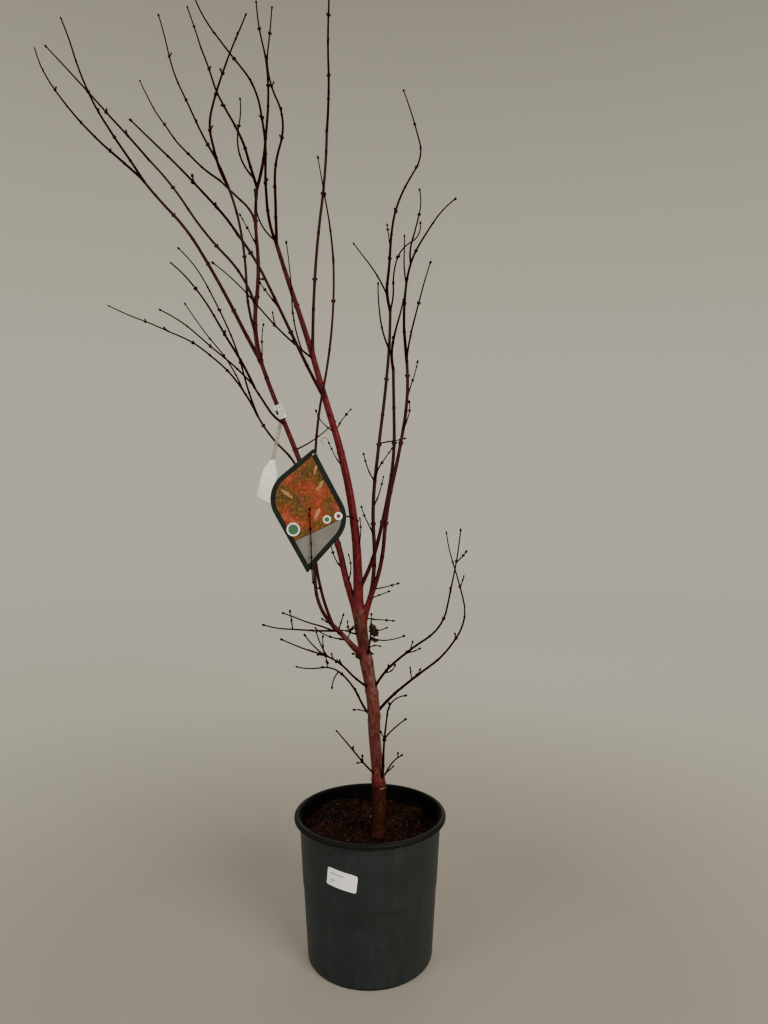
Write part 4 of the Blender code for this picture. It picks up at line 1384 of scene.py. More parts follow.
@dataclass
class Maple:
    """The plant: trunk, boughs, masses of twigs, buds and the dead leaves left on it.

    Attributes:
        box: the lowest and highest corners of the solids.
        rule: how twigs and buds are dealt.
        stub: the old pruned stub at the collar.
        fillet: a fork's fillet, and how much of the thinner limb's girth is added to it; twigs
            have twig_fillet.
        fork_reach: how near two limbs start that have a fillet.
        budded_spur: the shortest spur with buds of its own, and spur_bud is their length.
        bough_bud: the length of a bud on a thread; bough_taper of the radius comes off it, down to
            least_bud.
        end_room: how near a bough's tip a node may be.
        long_bough: a bough this long is thickened at its tip, where it forks.
        young: a twig thinner than this, in metres, is young bark.
        flares: how much thicker than further on a bough starts; the rest start at `flare`.
        stalk_bearer: the fine twig that ends in a curled leaf stalk.
    """

    box: list[list[float]]
    rule: SpurRule = field(default_factory=SpurRule)
    stub: Habit = Habit("trunk", 0.265, 0.0185, 10.4, 7.8, (-84, -62), (-38, -34))
    stub_fillet: float = 0.004
    fillet: tuple[float, float] = (0.0012, 0.42)
    twig_fillet: tuple[float, float] = (0.0008, 0.5)
    fork_reach: float = 0.015
    budded_spur: float = 0.014
    spur_bud: float = 0.0032
    bough_spacing: float = 0.058
    bough_bud: float = 0.0046
    bough_taper: float = 0.22
    least_bud: float = 0.0026
    end_room: float = 0.004
    long_bough: float = 0.1
    bud_spacing: float = 0.019
    fine_buds: tuple[float, float] = (0.0029, 0.0040)
    crown_reach: float = 0.45
    kink: float = 0.0009
    fine_fuller: float = 1.3
    young: float = 0.0024
    flare: float = 0.10
    stalk_bearer: int = 2
    flares: dict[str, float] = field(
        default_factory=lambda: {
            "trunk": 0.0, "bough_left": 0.30, "bough_right": 0.25, "bough_front": 0.32
        }
    )

    def __post_init__(self) -> None:
        """Grows every limb, in the source's order and with the source's dice."""
        path = grow(np.array([*FOOT, MIX_TOP + GAP]), TRUNK_LENGTH, TRUNK_LEANS, TRUNK_AWAY)
        self.limbs = {"trunk": Limb(path, TRUNK_LENGTH, TRUNK_GIRTHS)}
        for name, habit in BOUGHS.items():
            self.limbs[name] = limb_of(habit, self.limbs[habit.parent])
        self.masses: dict[str, list[Limb]] = {}
        for name, habit in TWIG_STEMS.items():
            stem = limb_of(habit, self.limbs[habit.parent], self.kink)
            sides = [limb_of(row, stem, self.kink) for row in SIDE_SHOOTS.get(name, ())]
            self.masses[name] = [stem, *sides]
        self.deal_spurs()
        self.deal_bough_nodes()
        self.grow_fine_twigs()
        for name, limb in self.limbs.items():
            limb.flare = self.flares.get(name, self.flare)
        for name, shoots in self.masses.items():
            for limb in shoots + self.spurs[name]:
                limb.fuller = TWIG_STEMS[name].fuller

    def deal_spurs(self) -> None:
        """Deals each mass its spurs and nodes."""
        chance, finer = random.Random(self.rule.seed), random.Random(self.rule.seed + 1)
        self.spurs: dict[str, list[Limb]] = {}
        self.nodes: dict[str, list[Bearing]] = {}
        for name, shoots in self.masses.items():
            strangers = list(self.limbs.values())
            for other, theirs in self.masses.items():
                strangers += theirs if other != name else []
            reach = 1.0 if self.part_of(name) == "low" else self.crown_reach
            kept, nodes = self.rule.spurs_of(shoots, strangers, chance, finer, reach)
            for twig in kept:
                if twig.length > self.budded_spur:
                    turn = finer.uniform(0, math.pi)
                    nodes.append(Bearing(twig, 0.55 * twig.length, turn, (0, 1), self.spur_bud))
            self.spurs[name], self.nodes[name] = kept, nodes

    def deal_bough_nodes(self) -> None:
        """Deals each bough its nodes: pairs of small buds that stand a quarter turn on."""
        dice = random.Random(self.rule.seed + 2)
        self.bough_nodes: dict[str, list[Bearing]] = {}
        for name, limb in self.limbs.items():
            nodes = []
            for number in range(1, int(limb.length / self.bough_spacing) + 1):
                distance = self.bough_spacing * (number + dice.uniform(-0.18, 0.18))
                if distance > limb.length - self.end_room:
                    continue
                turn = math.radians(90 * number + dice.uniform(-20, 20))
                size = self.bough_bud - self.bough_taper * float(limb.radius(distance))
                nodes.append(Bearing(limb, distance, turn, (0, 1), max(size, self.least_bud)))
            if limb.length > self.long_bough and name != "trunk":
                nodes.append(Bearing(limb, limb.length - 0.0015, 0.6, (), 0.002))
            self.bough_nodes[name] = nodes

    def grow_fine_twigs(self) -> None:
        """Grows the finer twigs that have a place of their own, each with its buds."""
        dice = random.Random(self.rule.seed + 3)
        self.fine: list[Limb] = []
        self.fine_nodes: list[Bearing] = []
        for habit in FINE_TWIGS:
            parent = self.limbs.get(habit.parent) or self.masses[habit.parent][0]
            twig = limb_of(habit, parent, self.kink / 2)
            twig.fuller = self.fine_fuller
            self.fine.append(twig)
            count = int(twig.length / self.bud_spacing)
            for number in range(1, count + 1):
                distance = twig.length * (number - 0.25 + dice.uniform(-0.12, 0.12)) / (count + 0.5)
                turn = math.radians(90 * number + dice.uniform(-self.rule.swing, self.rule.swing))
                size = dice.uniform(*self.fine_buds)
                self.fine_nodes.append(Bearing(twig, distance, turn, (0, 1), size))

    @staticmethod
    def part_of(name: str) -> str:
        """The part of the crown that a mass is in.

        Args:
            name: the mass's name.

        Returns:
            left, centre, right or low.
        """
        words = name.split("_")
        if "low" in words or "collar" in words:
            return "low"
        if words[1] in ("left", "right"):
            return words[1]
        return "left" if words[1:3] == ["front", "left"] else "centre"

    def leading_line(self) -> Limb:
        """Trunk and centre bough as one limb.

        Returns:
            The limb, with one run of girths.
        """
        trunk, centre = self.limbs["trunk"], self.limbs["bough_centre"]
        girths = (
            *TRUNK_GIRTHS[:-2],
            (TRUNK_LENGTH - 0.032, 0.0186),
            (TRUNK_LENGTH, 0.0174),
            (TRUNK_LENGTH + 0.018, 0.0153),
            (TRUNK_LENGTH + 0.055, 0.0138),
            (TRUNK_LENGTH + centre.length, centre.girths[-1][1]),
        )
        path = np.concatenate([trunk.path, centre.path[1:]])
        return Limb(path, TRUNK_LENGTH + centre.length, girths)

    def fillets_of(self, limb: Limb, every: list[Limb]) -> list[tuple[Limb, float]]:
        """The limbs that fork from this one, carry it or start beside it.

        Args:
            limb: the limb.
            every: all the limbs drawn as bark.

        Returns:
            Each neighbour and how large the fillet between them is.
        """
        found = []
        for other in every:
            foot = limb.path[0] if other.parent is None else other.path[0]
            mine = np.linalg.norm(limb.path - foot, axis=-1).min()
            theirs = np.linalg.norm(other.path - limb.path[0], axis=-1).min()
            if other is not limb and min(mine, theirs) < self.fork_reach:
                girth = 2 * min(float(limb.radius(0.0)), float(other.radius(0.0)))
                found.append((other, self.fillet[0] + self.fillet[1] * girth))
        return found

    def joint(self, limb: Limb) -> list[tuple[Limb, float]]:
        """The fillet where a twig leaves its parent."""
        size = self.twig_fillet[0] + self.twig_fillet[1] * float(limb.radius(0.0)) * 2
        return [(limb.parent, size)] if limb.parent else []

    @staticmethod
    def callus(line: Limb) -> Shell:
        """The pale lip of the graft: a ridge that runs a quarter of the way round the right front.

        Args:
            line: the trunk.

        Returns:
            The closed ridge.
        """
        share = np.linspace(0, 1, 24)
        angle = np.radians(-82 + 84 * share)
        up = TrunkSkin.graft - 0.0032 + 0.0022 * share**2
        out = line.drawn(up) + 0.0002
        path = line.point(up) + xyz(out * np.cos(angle), out * np.sin(angle), 0.0)
        length = float(np.linalg.norm(np.diff(path, axis=0), axis=-1).sum())
        girths = ((0.0, 0.0006), (0.3 * length, 0.0017), (0.8 * length, 0.0015), (length, 0.0007))
        return LimbSkin(Limb(path, length, girths), Wood.TWIG, slot=2).shell()

    def build_bark(self, finishes: list[Material]) -> None:
        """Makes the bark of trunk and boughs: one piece for the trunk's line, two for the rest.

        Args:
            finishes: bark, the old stub's moss and the graft's callus.
        """
        line, stub = self.leading_line(), limb_of(self.stub, self.limbs["trunk"])
        drawn = dict(self.limbs)
        del drawn["trunk"], drawn["bough_centre"]
        every = [line, *drawn.values()]
        shifted = [
            Bearing(line, TRUNK_LENGTH + node.distance, node.turn, node.sides, node.size)
            for node in self.bough_nodes["bough_centre"]
        ]
        fillets = [*self.fillets_of(line, every), (stub, self.stub_fillet)]
        trunk = joined(
            [
                TrunkSkin(line, Wood.TRUNK, shifted, fillets, seed=3).shell(),
                LimbSkin(stub, Wood.BOUGH, [], [(line, self.stub_fillet)], seed=5, slot=1).shell(),
                self.callus(line),
            ]
        )
        place_piece("trunk_and_centre_bark", trunk, finishes, "trunk_bark", "trunk", "bough_centre")
        for part in ("left", "right"):
            names = [name for name in drawn if ("left" in name) == (part == "left")]
            shells = [
                LimbSkin(
                    drawn[name], Wood.BOUGH, self.bough_nodes[name],
                    self.fillets_of(drawn[name], every), seed=11 + number,
                ).shell()
                for number, name in enumerate(names)
            ]
            place_piece("bough_bark_" + part, joined(shells), finishes[:1], "bough_bark", *names)

    def twig_skin(self, limb: Limb, nodes: list[Bearing], seed: int, is_young: bool) -> Shell:
        """The skin of one twig.

        Args:
            limb: the twig.
            nodes: the nodes among which are its own.
            seed: for its marks.
            is_young: whether all of it is young bark; otherwise only its thin end is.

        Returns:
            The skin, older bark in slot 0 and young bark in slot 1.
        """
        own = [node for node in nodes if node.limb is limb]
        shell = LimbSkin(limb, Wood.TWIG, own, self.joint(limb), seed, slot=1).shell()
        if not is_young:
            girth = shell.marks["girth"][shell.faces[:, :3]].mean(1)
            shell.slots = (girth < self.young).astype(int)
        return shell

    def build_twigs(self, finishes: list[Material], scales: Material) -> None:
        """Makes the twigs of each part of the crown, and the buds they bear.

        Args:
            finishes: the bark of the older shoots, and of the tips and spurs.
            scales: the buds' finish.
        """
        dice, row, seed = random.Random(self.rule.seed + 4), BudRow(), 100
        for part in ("left", "centre", "right", "low"):
            names = [name for name in self.masses if self.part_of(name) == part]
            shells, nodes, tips = [], [], []
            for name in names:
                shoots = self.masses[name]
                for number, limb in enumerate(shoots + self.spurs[name]):
                    seed += 1
                    nodes += [node for node in self.nodes[name] if node.limb is limb]
                    shells.append(self.twig_skin(limb, self.nodes[name], seed, number >= len(shoots)))
                    tips.append(limb)
            if part == "centre":
                nodes += self.fine_nodes
                tips += self.fine
                for twig in self.fine:
                    seed += 1
                    shells.append(self.twig_skin(twig, self.fine_nodes, seed, True))
            twigs = self.within_reach(joined(shells))
            place_piece("twig_bark_" + part, twigs, finishes, "twig_bark", *names)
            buds = self.within_reach(joined([row.of_nodes(nodes, 0.75), row.of_tips(tips, dice)]))
            place_piece("winter_buds_" + part, buds, [scales], "twig_bark")
        rest = [
            node for name in self.limbs for node in self.bough_nodes[name] if name != "trunk"
        ]
        place_piece("bough_buds", row.of_nodes(rest, 0.86), [scales], "twig_bark")

    def within_reach(self, shell: Shell) -> Shell:
        """Presses a shell into the solids' box, where a bud at its very edge stands proud."""
        low, high = np.array(self.box)
        shell.points = np.clip(shell.points, low + 1e-5, high - 1e-5)
        return shell

    def build_dead_leaves(self, finish: Material) -> None:
        """Makes the few rolled dead leaves, each held by its foot, and one curled leaf stalk.

        The stalk is seven eighths of a circle of 5 mm radius, upright and facing the front.

        Args:
            finish: the dry leaf's finish.
        """
        collar = self.masses["twigs_collar_right"][0]
        inner = self.limbs["bough_centre_left"]
        spots = [
            (collar, 0.073, (0.52, -0.30, -0.80), 0.5, Leaf(0.025, 0.027, 1.25, 5)),
            (collar, 0.068, (0.55, -0.15, -0.75), 2.3, Leaf(0.019, 0.015, 2.1, 6)),
            (collar, 0.046, (0.80, -0.35, -0.10), 1.2, Leaf(0.014, 0.011, 1.9, 9)),
            (inner, 0.190, (-0.85, -0.25, -0.15), 0.9, Leaf(0.014, 0.006, 1.8, 7)),
        ]
        shells = [leaf.shell(limb.point(at), way, turn) for limb, at, way, turn, leaf in spots]
        twig, bend, sweep = self.fine[self.stalk_bearer], 0.0052, 1.75 * math.pi
        angle = np.linspace(0, sweep, 40)
        curl = twig.point(twig.length) + bend * xyz(np.cos(angle) - 1, 0.0, np.sin(angle))
        stalk = Limb(curl, bend * sweep, ((0.0, 0.0009), (0.0286, 0.0007)))
        shells.append(LimbSkin(stalk, Wood.TWIG).shell())
        place_piece("dead_leaves", unmarked(shells), [finish], "twig_bark")

    def build(self, wardrobe: Wardrobe) -> None:
        """Builds the whole plant in its finishes."""
        self.build_bark([wardrobe.bark, wardrobe.moss, wardrobe.callus])
        self.build_twigs([wardrobe.shoot_bark, wardrobe.tip_bark], wardrobe.bud_scale)
        self.build_dead_leaves(wardrobe.dry_leaf)


# Pot and mix.


@dataclass
class NurseryPot:
    """The moulded pot: a tapering wall with a faint step, a rolled lip and a drained floor."""

    height: float = 0.215
    lip_radius: float = 0.115
    lip_width: float = 0.010
    lip_depth: float = 0.0075
    wall: float = 0.0022
    base_radius: float = 0.095
    floor: float = 0.0026
    step_height: float = 0.113
    step_depth: float = 0.0008
    drains: int = 8
    drain_radius: float = 0.006
    drain_circle: float = 0.074
    drain_reach: float = 0.004
    facet: float = 0.006
    sides: int = 240

    def wall_radius(self, height: Array | float) -> Array:
        """The wall's outer radius at a height, less below the faint step."""
        slope = (self.lip_radius - self.lip_width + self.wall - self.base_radius) / self.height
        below = np.asarray(height) < self.step_height
        return self.base_radius + slope * np.asarray(height) - self.step_depth * below

    def inner_radius(self, height: float) -> float:
        """The inner radius at a height, from the floor to the mouth."""
        mouth, foot = self.lip_radius - self.lip_width, self.base_radius - self.step_depth - self.wall
        return foot + (mouth - foot) / (self.height - self.floor) * (height - self.floor)

    def profile(self) -> Array:
        """The pot's section, from the middle of its underside, up the outside, over and in.

        Returns:
            Rows of radius and height: the gate's mark, the underside, the wall with its step, the
            rolled lip, the inner wall and the floor.
        """
        mouth = self.lip_radius - self.lip_width
        foot = self.inner_radius(self.floor)
        step, under_lip, outer, top = (
            self.step_height, self.height - self.lip_depth - 0.0002, self.lip_radius, self.height
        )

        def wall(height: float) -> float:
            """The wall's radius as a plain number."""
            return float(self.wall_radius(height))

        corners = [
            (0.0, 0.0008, 0.0),
            (0.0045, 0.0008, 0.0002),
            (0.0052, 0.0, 0.0002),
            (0.0400, 0.0, 0.0003),
            (0.0404, 0.0007, 0.0002),
            (0.0428, 0.0007, 0.0002),
            (0.0432, 0.0, 0.0003),
            (wall(0.0) - 0.0040, 0.0, 0.0015),
            (wall(0.004) - 0.0004, 0.0034, 0.0022),
            (wall(step - 0.002), step - 0.0022, 0.0009),
            (wall(step + 0.001), step + 0.0004, 0.0009),
            (wall(0.196), 0.196, 0.001),
            (wall(0.199) + 0.0006, 0.1990, 0.001),
            (wall(self.height - self.lip_depth) + 0.0006, under_lip, 0.0006),
            (outer - 0.0030, under_lip, 0.0008),
            (outer - 0.0003, under_lip + 0.0008, 0.0008),
            (outer, top - 0.0026, 0.0016),
            (outer - 0.0022, top, 0.0018),
            (outer - 0.0052, top, 0.0012),
            (mouth + 0.0026, top - 0.0011, 0.0010),
            (mouth - 0.0002, top - 0.0028, 0.0016),
            (mouth - 0.0010, top - 0.010, 0.002),
            (foot + 0.0008, self.floor + 0.003, 0.0015),
            (foot - 0.0020, self.floor, 0.0015),
            (0.0, self.floor, 0.0),
        ]
        return refined(softened(corners), self.facet)

    def build(self, finishes: list[Material]) -> None:
        """Turns the pot, cuts its drain holes and deals its faces their finishes.

        Args:
            finishes: the outer wall's plastic, and the inner wall's and the lip's, both darkened by painted
                shade.
        """
        body = mesh_of("pot_body", skin(lathe(self.profile()[1:-1], self.sides)))
        angle = 2 * np.pi * (np.arange(self.drains) + 0.5) / self.drains
        low = self.drain_circle * xyz(np.cos(angle), np.sin(angle), 0.0) - [0, 0, self.drain_reach]
        up = np.array([0.0, 0.0, self.floor + 2 * self.drain_reach])
        body = sharpened(cut_from(body, [rod(self.drain_radius, foot, foot + up) for foot in low]), 50)
        middles = np.zeros(3 * len(body.polygons), np.float32)
        body.polygons.foreach_get("center", middles)
        middles = middles.reshape(-1, 3)
        out, high = np.hypot(middles[:, 0], middles[:, 1]), middles[:, 2]
        # Painted shade: faces inside the wall and the inner part of the lip take a near-black finish in slot
        # 1.
        within = (out < self.wall_radius(high) - 0.0006) & (high > 0.001)
        # Painted shade: the lip's outer face takes a darkened finish in slot 2.
        lip = high > self.height - self.lip_depth - 0.0006
        mouth = out < self.lip_radius - 0.0062
        slots = np.where(lip & ~mouth, 2, np.where(within | lip, 1, 0))
        body.polygons.foreach_set("material_index", slots.astype(np.int32))
        place_piece("nursery_pot", body, finishes, "pot", "pot")


class Crumb(Enum):
    """What the mix's surface is scattered with, by the slot of its finish."""

    DARK_BARK = 0
    RED_BARK = 1
    TAN_FIBRE = 2
    GRIT = 3


@dataclass
class PottingMix:
    """The mix: a lumpy plug in the pot, with bark chips, fibres and a little pale grit on it."""

    pot: NurseryPot
    swell: float = 0.0045
    chips: int = 2600
    fibres: int = 900
    grit: int = 60
    chip_lengths: tuple[float, float] = (0.0025, 0.019)
    chip_thicks: tuple[float, float] = (0.0005, 0.0014)
    fibre_lengths: tuple[float, float] = (0.006, 0.020)
    grit_sizes: tuple[float, float] = (0.0010, 0.0024)
    seed: int = 41
    sides: int = 260
    rows: int = 110

    def __post_init__(self) -> None:
        """Works out the radius of its edge against the wall, and starts its dice."""
        self.rim = self.pot.inner_radius(MIX_TOP) - 0.0007
        self.dice = np.random.default_rng(self.seed)

    def level(self, x: Array, y: Array) -> Array:
        """The height of the mix's top.

        The source's long swell, which is flat round the trunk and dies out at the wall, plus
        three finer waves of crossing sines for lumps of about 20, 9 and 4 mm.

        Args:
            x: places to the right.
            y: places to the back.

        Returns:
            Heights in metres.
        """
        away = np.hypot(x - FOOT[0], y - FOOT[1])
        edge = held((self.rim - np.hypot(x, y)) / 0.012)
        rise = np.sin(47 * x + 1.1) * np.cos(39 * y + 0.4) + 0.8 * np.sin(83 * (x - y))
        rise = rise + 0.9 * (y - x) / self.rim
        long = self.swell * rise * held((away - 0.030) / 0.02) * edge
        lumps = 0.0013 * np.sin(310 * x + 2 * np.sin(200 * y)) * np.sin(290 * y + 1.3)
        lumps = lumps + 0.0006 * np.sin(700 * x + 300 * y) * np.sin(640 * y - 410 * x + 0.7)
        lumps = lumps + 0.0003 * np.sin(1500 * x + 900 * np.abs(y)) * np.sin(1370 * y + 2.1)
        clear = held((away - 0.0135) / 0.010)
        return MIX_TOP + long + lumps * clear * (0.4 + 0.6 * edge) - 0.0004

    def surface(self) -> Shell:
        """The plug: a fine polar grid on top, with a plain side and underside.

        Returns:
            The closed plug.
        """
        angle, radius = circle(self.sides)[None], np.linspace(self.rim, 0.0008, self.rows)[:, None]
        x, y = radius * np.cos(angle), radius * np.sin(angle)
        top = xyz(x, y, self.level(x, y))
        inner, low = self.pot.inner_radius(self.pot.floor) - 0.0011, self.pot.floor + 0.0006
        under = lathe(np.array([[0.02, low], [inner, low]]), self.sides)
        return skin(np.concatenate([under, np.linspace(under[-1], top[0], 8)[1:-1], top]))

    def scattered(self, count: int) -> Array:
        """Even random places on the mix, clear of the trunk's foot and the wall.

        Args:
            count: how many.

        Returns:
            The places.
        """
        radius = (self.rim - 0.003) * np.sqrt(self.dice.uniform(0, 1, 2 * count))
        angle = self.dice.uniform(0, 2 * np.pi, 2 * count)
        x, y = radius * np.cos(angle), radius * np.sin(angle)
        clear = np.hypot(x - FOOT[0], y - FOOT[1]) > 0.0145
        x, y = x[clear][:count], y[clear][:count]
        return xyz(x, y, self.level(x, y))

    def turns(self, count: int, tilt: float) -> Array:
        """Random turns: any way round, tilted from level by about this much.

        Args:
            count: how many.
            tilt: the usual tilt, in radians.

        Returns:
            One three by three turn each: about x, then y, then z.
        """
        spin = self.dice.uniform(0, 2 * np.pi, count)
        pitch, roll = self.dice.normal(0, tilt, count), self.dice.normal(0, tilt * 1.4, count)
        turned = []
        for angle, here, ahead in ((spin, 0, 1), (pitch, 2, 0), (roll, 1, 2)):
            turn = np.zeros((3, 3, count)) + np.eye(3)[..., None]
            turn[here, here] = turn[ahead, ahead] = np.cos(angle)
            turn[here, ahead], turn[ahead, here] = -np.sin(angle), np.sin(angle)
            turned.append(turn)
        return np.einsum("ijn,jkn,kln->nil", *turned)

    def strewn(
        self, grain: Shell, sizes: Array, lift: tuple[float, float], share: float,
        kinds: tuple[Crumb, Crumb], tilt: float,
    ) -> Shell:
        """Copies of one grain, strewn on the mix.

        Args:
            grain: the shape.
            sizes: three sizes per copy.
            lift: the least and most that a copy stands off the surface.
            share: how many are of the first kind.
            kinds: the two kinds.
            tilt: how far from level they lie, in radians.

        Returns:
            All the copies.
        """
        count = len(sizes)
        places = self.scattered(count)
        places[:, 2] += self.dice.uniform(*lift, count)
        slots = np.where(self.dice.uniform(0, 1, count) < share, kinds[0].value, kinds[1].value)
        return stamped(grain, self.turns(count, tilt), sizes, places, slots)

    def crumbs(self) -> Shell:
        """Bark chips, fibres and grit.

        A chip is a flat sliver that narrows to its ends; a fibre is a thin strand bent twice; a
        grain of grit is a squashed ball of a few faces.

        Returns:
            All of them in one shell, each in its own finish.
        """
        dice = self.dice
        along = np.array([-0.5, -0.32, 0.05, 0.36, 0.5])[:, None]
        wide = np.array([0.28, 0.86, 1.0, 0.74, 0.18])[:, None] / 2
        lean = np.array([0.10, -0.08, 0.05, -0.06, 0.1])[:, None]
        angle = circle(6)
        chip = skin(xyz(along, lean + wide * np.cos(angle), wide * np.sin(angle)))
        length = dice.gamma(4.0, 0.0017, self.chips).clip(*self.chip_lengths)
        width = dice.uniform(0.22, 0.55, self.chips) * length.clip(0, 0.010)
        sizes = xyz(length, width, dice.uniform(*self.chip_thicks, self.chips))
        kinds = (Crumb.DARK_BARK, Crumb.RED_BARK)
        chips = self.strewn(chip, sizes, (-0.0004, 0.0012), 0.62, kinds, 0.30)
        bend = np.linspace(-0.5, 0.5, 7)[:, None]
        thin = 0.025 * np.array([0.3, 0.8, 1, 1, 0.9, 0.7, 0.2])[:, None]
        angle = circle(3)
        strand = skin(
            xyz(
                bend,
                0.12 * np.sin(5 * bend) + thin * np.cos(angle),
                0.05 * np.cos(6 * bend) + thin * np.sin(angle),
            )
        )
        sizes = np.repeat(dice.uniform(*self.fibre_lengths, self.fibres)[:, None], 3, 1)
        kinds = (Crumb.RED_BARK, Crumb.TAN_FIBRE)
        fibres = self.strewn(strand, sizes, (0.0002, 0.0016), 0.5, kinds, 0.16)
        ball = skin(lathe(np.array([[0.30, -0.40], [0.5, -0.1], [0.46, 0.2], [0.2, 0.46]]), 6))
        sizes = dice.uniform(*self.grit_sizes, self.grit)[:, None]
        sizes = sizes * dice.uniform(0.6, 1.1, (self.grit, 3))
        places = self.scattered(self.grit) + [0, 0, 0.0005]
        slots = np.full(self.grit, Crumb.GRIT.value)
        grit = stamped(ball, self.turns(self.grit, 1.0), sizes, places, slots)
        return joined([chips, fibres, grit])

    def build(self, wardrobe: Wardrobe) -> None:
        """Makes the plug and what lies on it.

        Args:
            wardrobe: the finishes.
        """
        place_piece("potting_mix_bed", self.surface(), [wardrobe.mix], "potting_mix", "potting_mix")
        finishes = [wardrobe.dark_chip, wardrobe.red_chip, wardrobe.fibre, wardrobe.grit]
        crumbs = mesh_of("crumbs", self.crumbs(), smooth=False)
        place_piece("potting_mix_crumbs", crumbs, finishes, "potting_mix")


# Tag, tie and labels.


def half_planes(corners: Array) -> Array:
    """The sides of a convex outline, each as an inward way and how far out it lies.

    Args:
        corners: the outline's corners, in order either way round.

    Returns:
        Rows of inward x, inward z and offset: a point is inside if x * a + z * b >= offset.
    """
    ahead = np.roll(corners, -1, 0) - corners
    normal = unit(np.stack([-ahead[:, 1], ahead[:, 0]], -1))
    normal = normal * np.sign(((corners.mean(0) - corners) * normal).sum(1))[:, None]
    return np.concatenate([normal, (normal * corners).sum(1)[:, None]], 1)


def limits(planes: Array, heights: Array) -> tuple[Array, Array]:
    """How far the space inside half planes runs across at each height.

    Args:
        planes: rows from half_planes.
        heights: the heights.

    Returns:
        The rightmost left limit and the leftmost right limit.
    """
    across, up, offset = planes.T
    level = np.abs(across) < 1e-9
    bound = (offset - heights[:, None] * up) / np.where(level, 1e-9, across)
    left = np.where((across > 0) & ~level, bound, -1e9).max(1)
    right = np.where((across < 0) & ~level, bound, 1e9).min(1)
    outside = (up * heights[:, None] < offset) & level
    return left, np.where(outside.any(1), left - 1, right)


def field_of(planes: Array, rows: int, columns: int = 26) -> tuple[Array, Array]:
    """A grid over the space inside a set of half planes.

    The columns share out the width at each height evenly; the rows crowd towards the two ends.

    Args:
        planes: rows from half_planes.
        rows: rows of the grid.
        columns: columns of the grid.

    Returns:
        How far across and how far up each place is.
    """
    heights = np.linspace(-0.30, 0.30, 24001)
    left, right = limits(planes, heights)
    inside = heights[right > left]
    share = (1 - np.cos(np.linspace(0, np.pi, rows))) / 2
    up = inside[0] + (inside[-1] - inside[0]) * share
    left, right = limits(planes, up)
    across = left[:, None] + np.maximum(right - left, 0)[:, None] * np.linspace(0, 1, columns)
    return across, np.broadcast_to(up[:, None], across.shape)


def rounded(corners: Array, radii: tuple[float, ...], steps: tuple[int, ...]) -> Array:
    """An outline whose corners are arcs.

    An arc's middle lies on the line that halves the corner, radius / sin(half) from it, and the
    arc starts radius / tan(half) along each side.

    Args:
        corners: the corners, in order.
        radii: the arc's radius at each.
        steps: the pieces of each arc.

    Returns:
        The outline's points.
    """
    outline = []
    for here, before, after, radius, count in zip(
        corners, np.roll(corners, 1, 0), np.roll(corners, -1, 0), radii, steps
    ):
        back, ahead = unit(before - here), unit(after - here)
        half = math.acos(float(back @ ahead)) / 2
        middle = here + unit(back + ahead) * radius / math.sin(half)
        reach = radius / math.tan(half)
        first, last = here + back * reach - middle, here + ahead * reach - middle
        start, end = math.atan2(first[1], first[0]), math.atan2(last[1], last[0])
        sweep = (end - start + math.pi) % (2 * math.pi) - math.pi
        angle = start + sweep * np.linspace(0, 1, count + 1)
        outline.append(middle + radius * np.stack([np.cos(angle), np.sin(angle)], -1))
    return np.concatenate(outline)


def turned(across: Array, up: Array, degrees: float) -> tuple[Array, Array]:
    """Flat places turned clockwise, as seen from the front."""
    c, s = math.cos(math.radians(-degrees)), math.sin(math.radians(-degrees))
    return across * c - up * s, across * s + up * c


@dataclass(frozen=True)
class Motif:
    """A plain oval of print on the tag's picture.

    Attributes:
        middle: across and up from the board's top tip.
        across: its half width.
        up: its half height.
        turn: its turn, in degrees.
        slot: its finish.
        level: how many films lie between it and the board.
    """

    middle: tuple[float, float]
    across: float
    up: float
    turn: float
    slot: int
    level: int

    def sides(self) -> Array:
        """The oval's half planes.

        Returns:
            Rows as half_planes gives them.
        """
        angle, spin = circle(72), math.radians(self.turn)
        flat = np.stack([self.across * np.cos(angle), self.up * np.sin(angle)], -1)
        turn = np.array([[math.cos(spin), math.sin(spin)], [-math.sin(spin), math.cos(spin)]])
        return half_planes(flat @ turn + np.array(self.middle))


# Oval leaves in rust and amber, then three white care badges, each with a plain disc.
MOTIFS = (
    Motif((-0.016, -0.042), 0.0026, 0.0100, 24, 2, 2),
    Motif((0.012, -0.052), 0.0022, 0.0085, -32, 5, 2),
    Motif((-0.034, -0.066), 0.0024, 0.0095, 58, 5, 2),
    Motif((-0.012, -0.074), 0.0028, 0.0110, 12, 2, 2),
    Motif((0.030, -0.080), 0.0022, 0.0090, -48, 2, 2),
    Motif((0.010, -0.092), 0.0024, 0.0085, -20, 5, 2),
    Motif((-0.026, -0.094), 0.0022, 0.0080, 35, 2, 2),
    Motif((0.004, -0.030), 0.0018, 0.0065, -10, 5, 2),
    Motif((-0.0225, -0.1155), 0.0094, 0.0094, 0, 3, 3),
    Motif((0.0400, -0.0935), 0.0056, 0.0056, 0, 3, 3),
    Motif((0.0240, -0.0990), 0.0056, 0.0056, 0, 3, 3),
    Motif((-0.0225, -0.1155), 0.0074, 0.0074, 0, 4, 4),
    Motif((0.0400, -0.0935), 0.0030, 0.0030, 0, 2, 4),
    Motif((0.0240, -0.0990), 0.0036, 0.0036, 0, 4, 4),
)


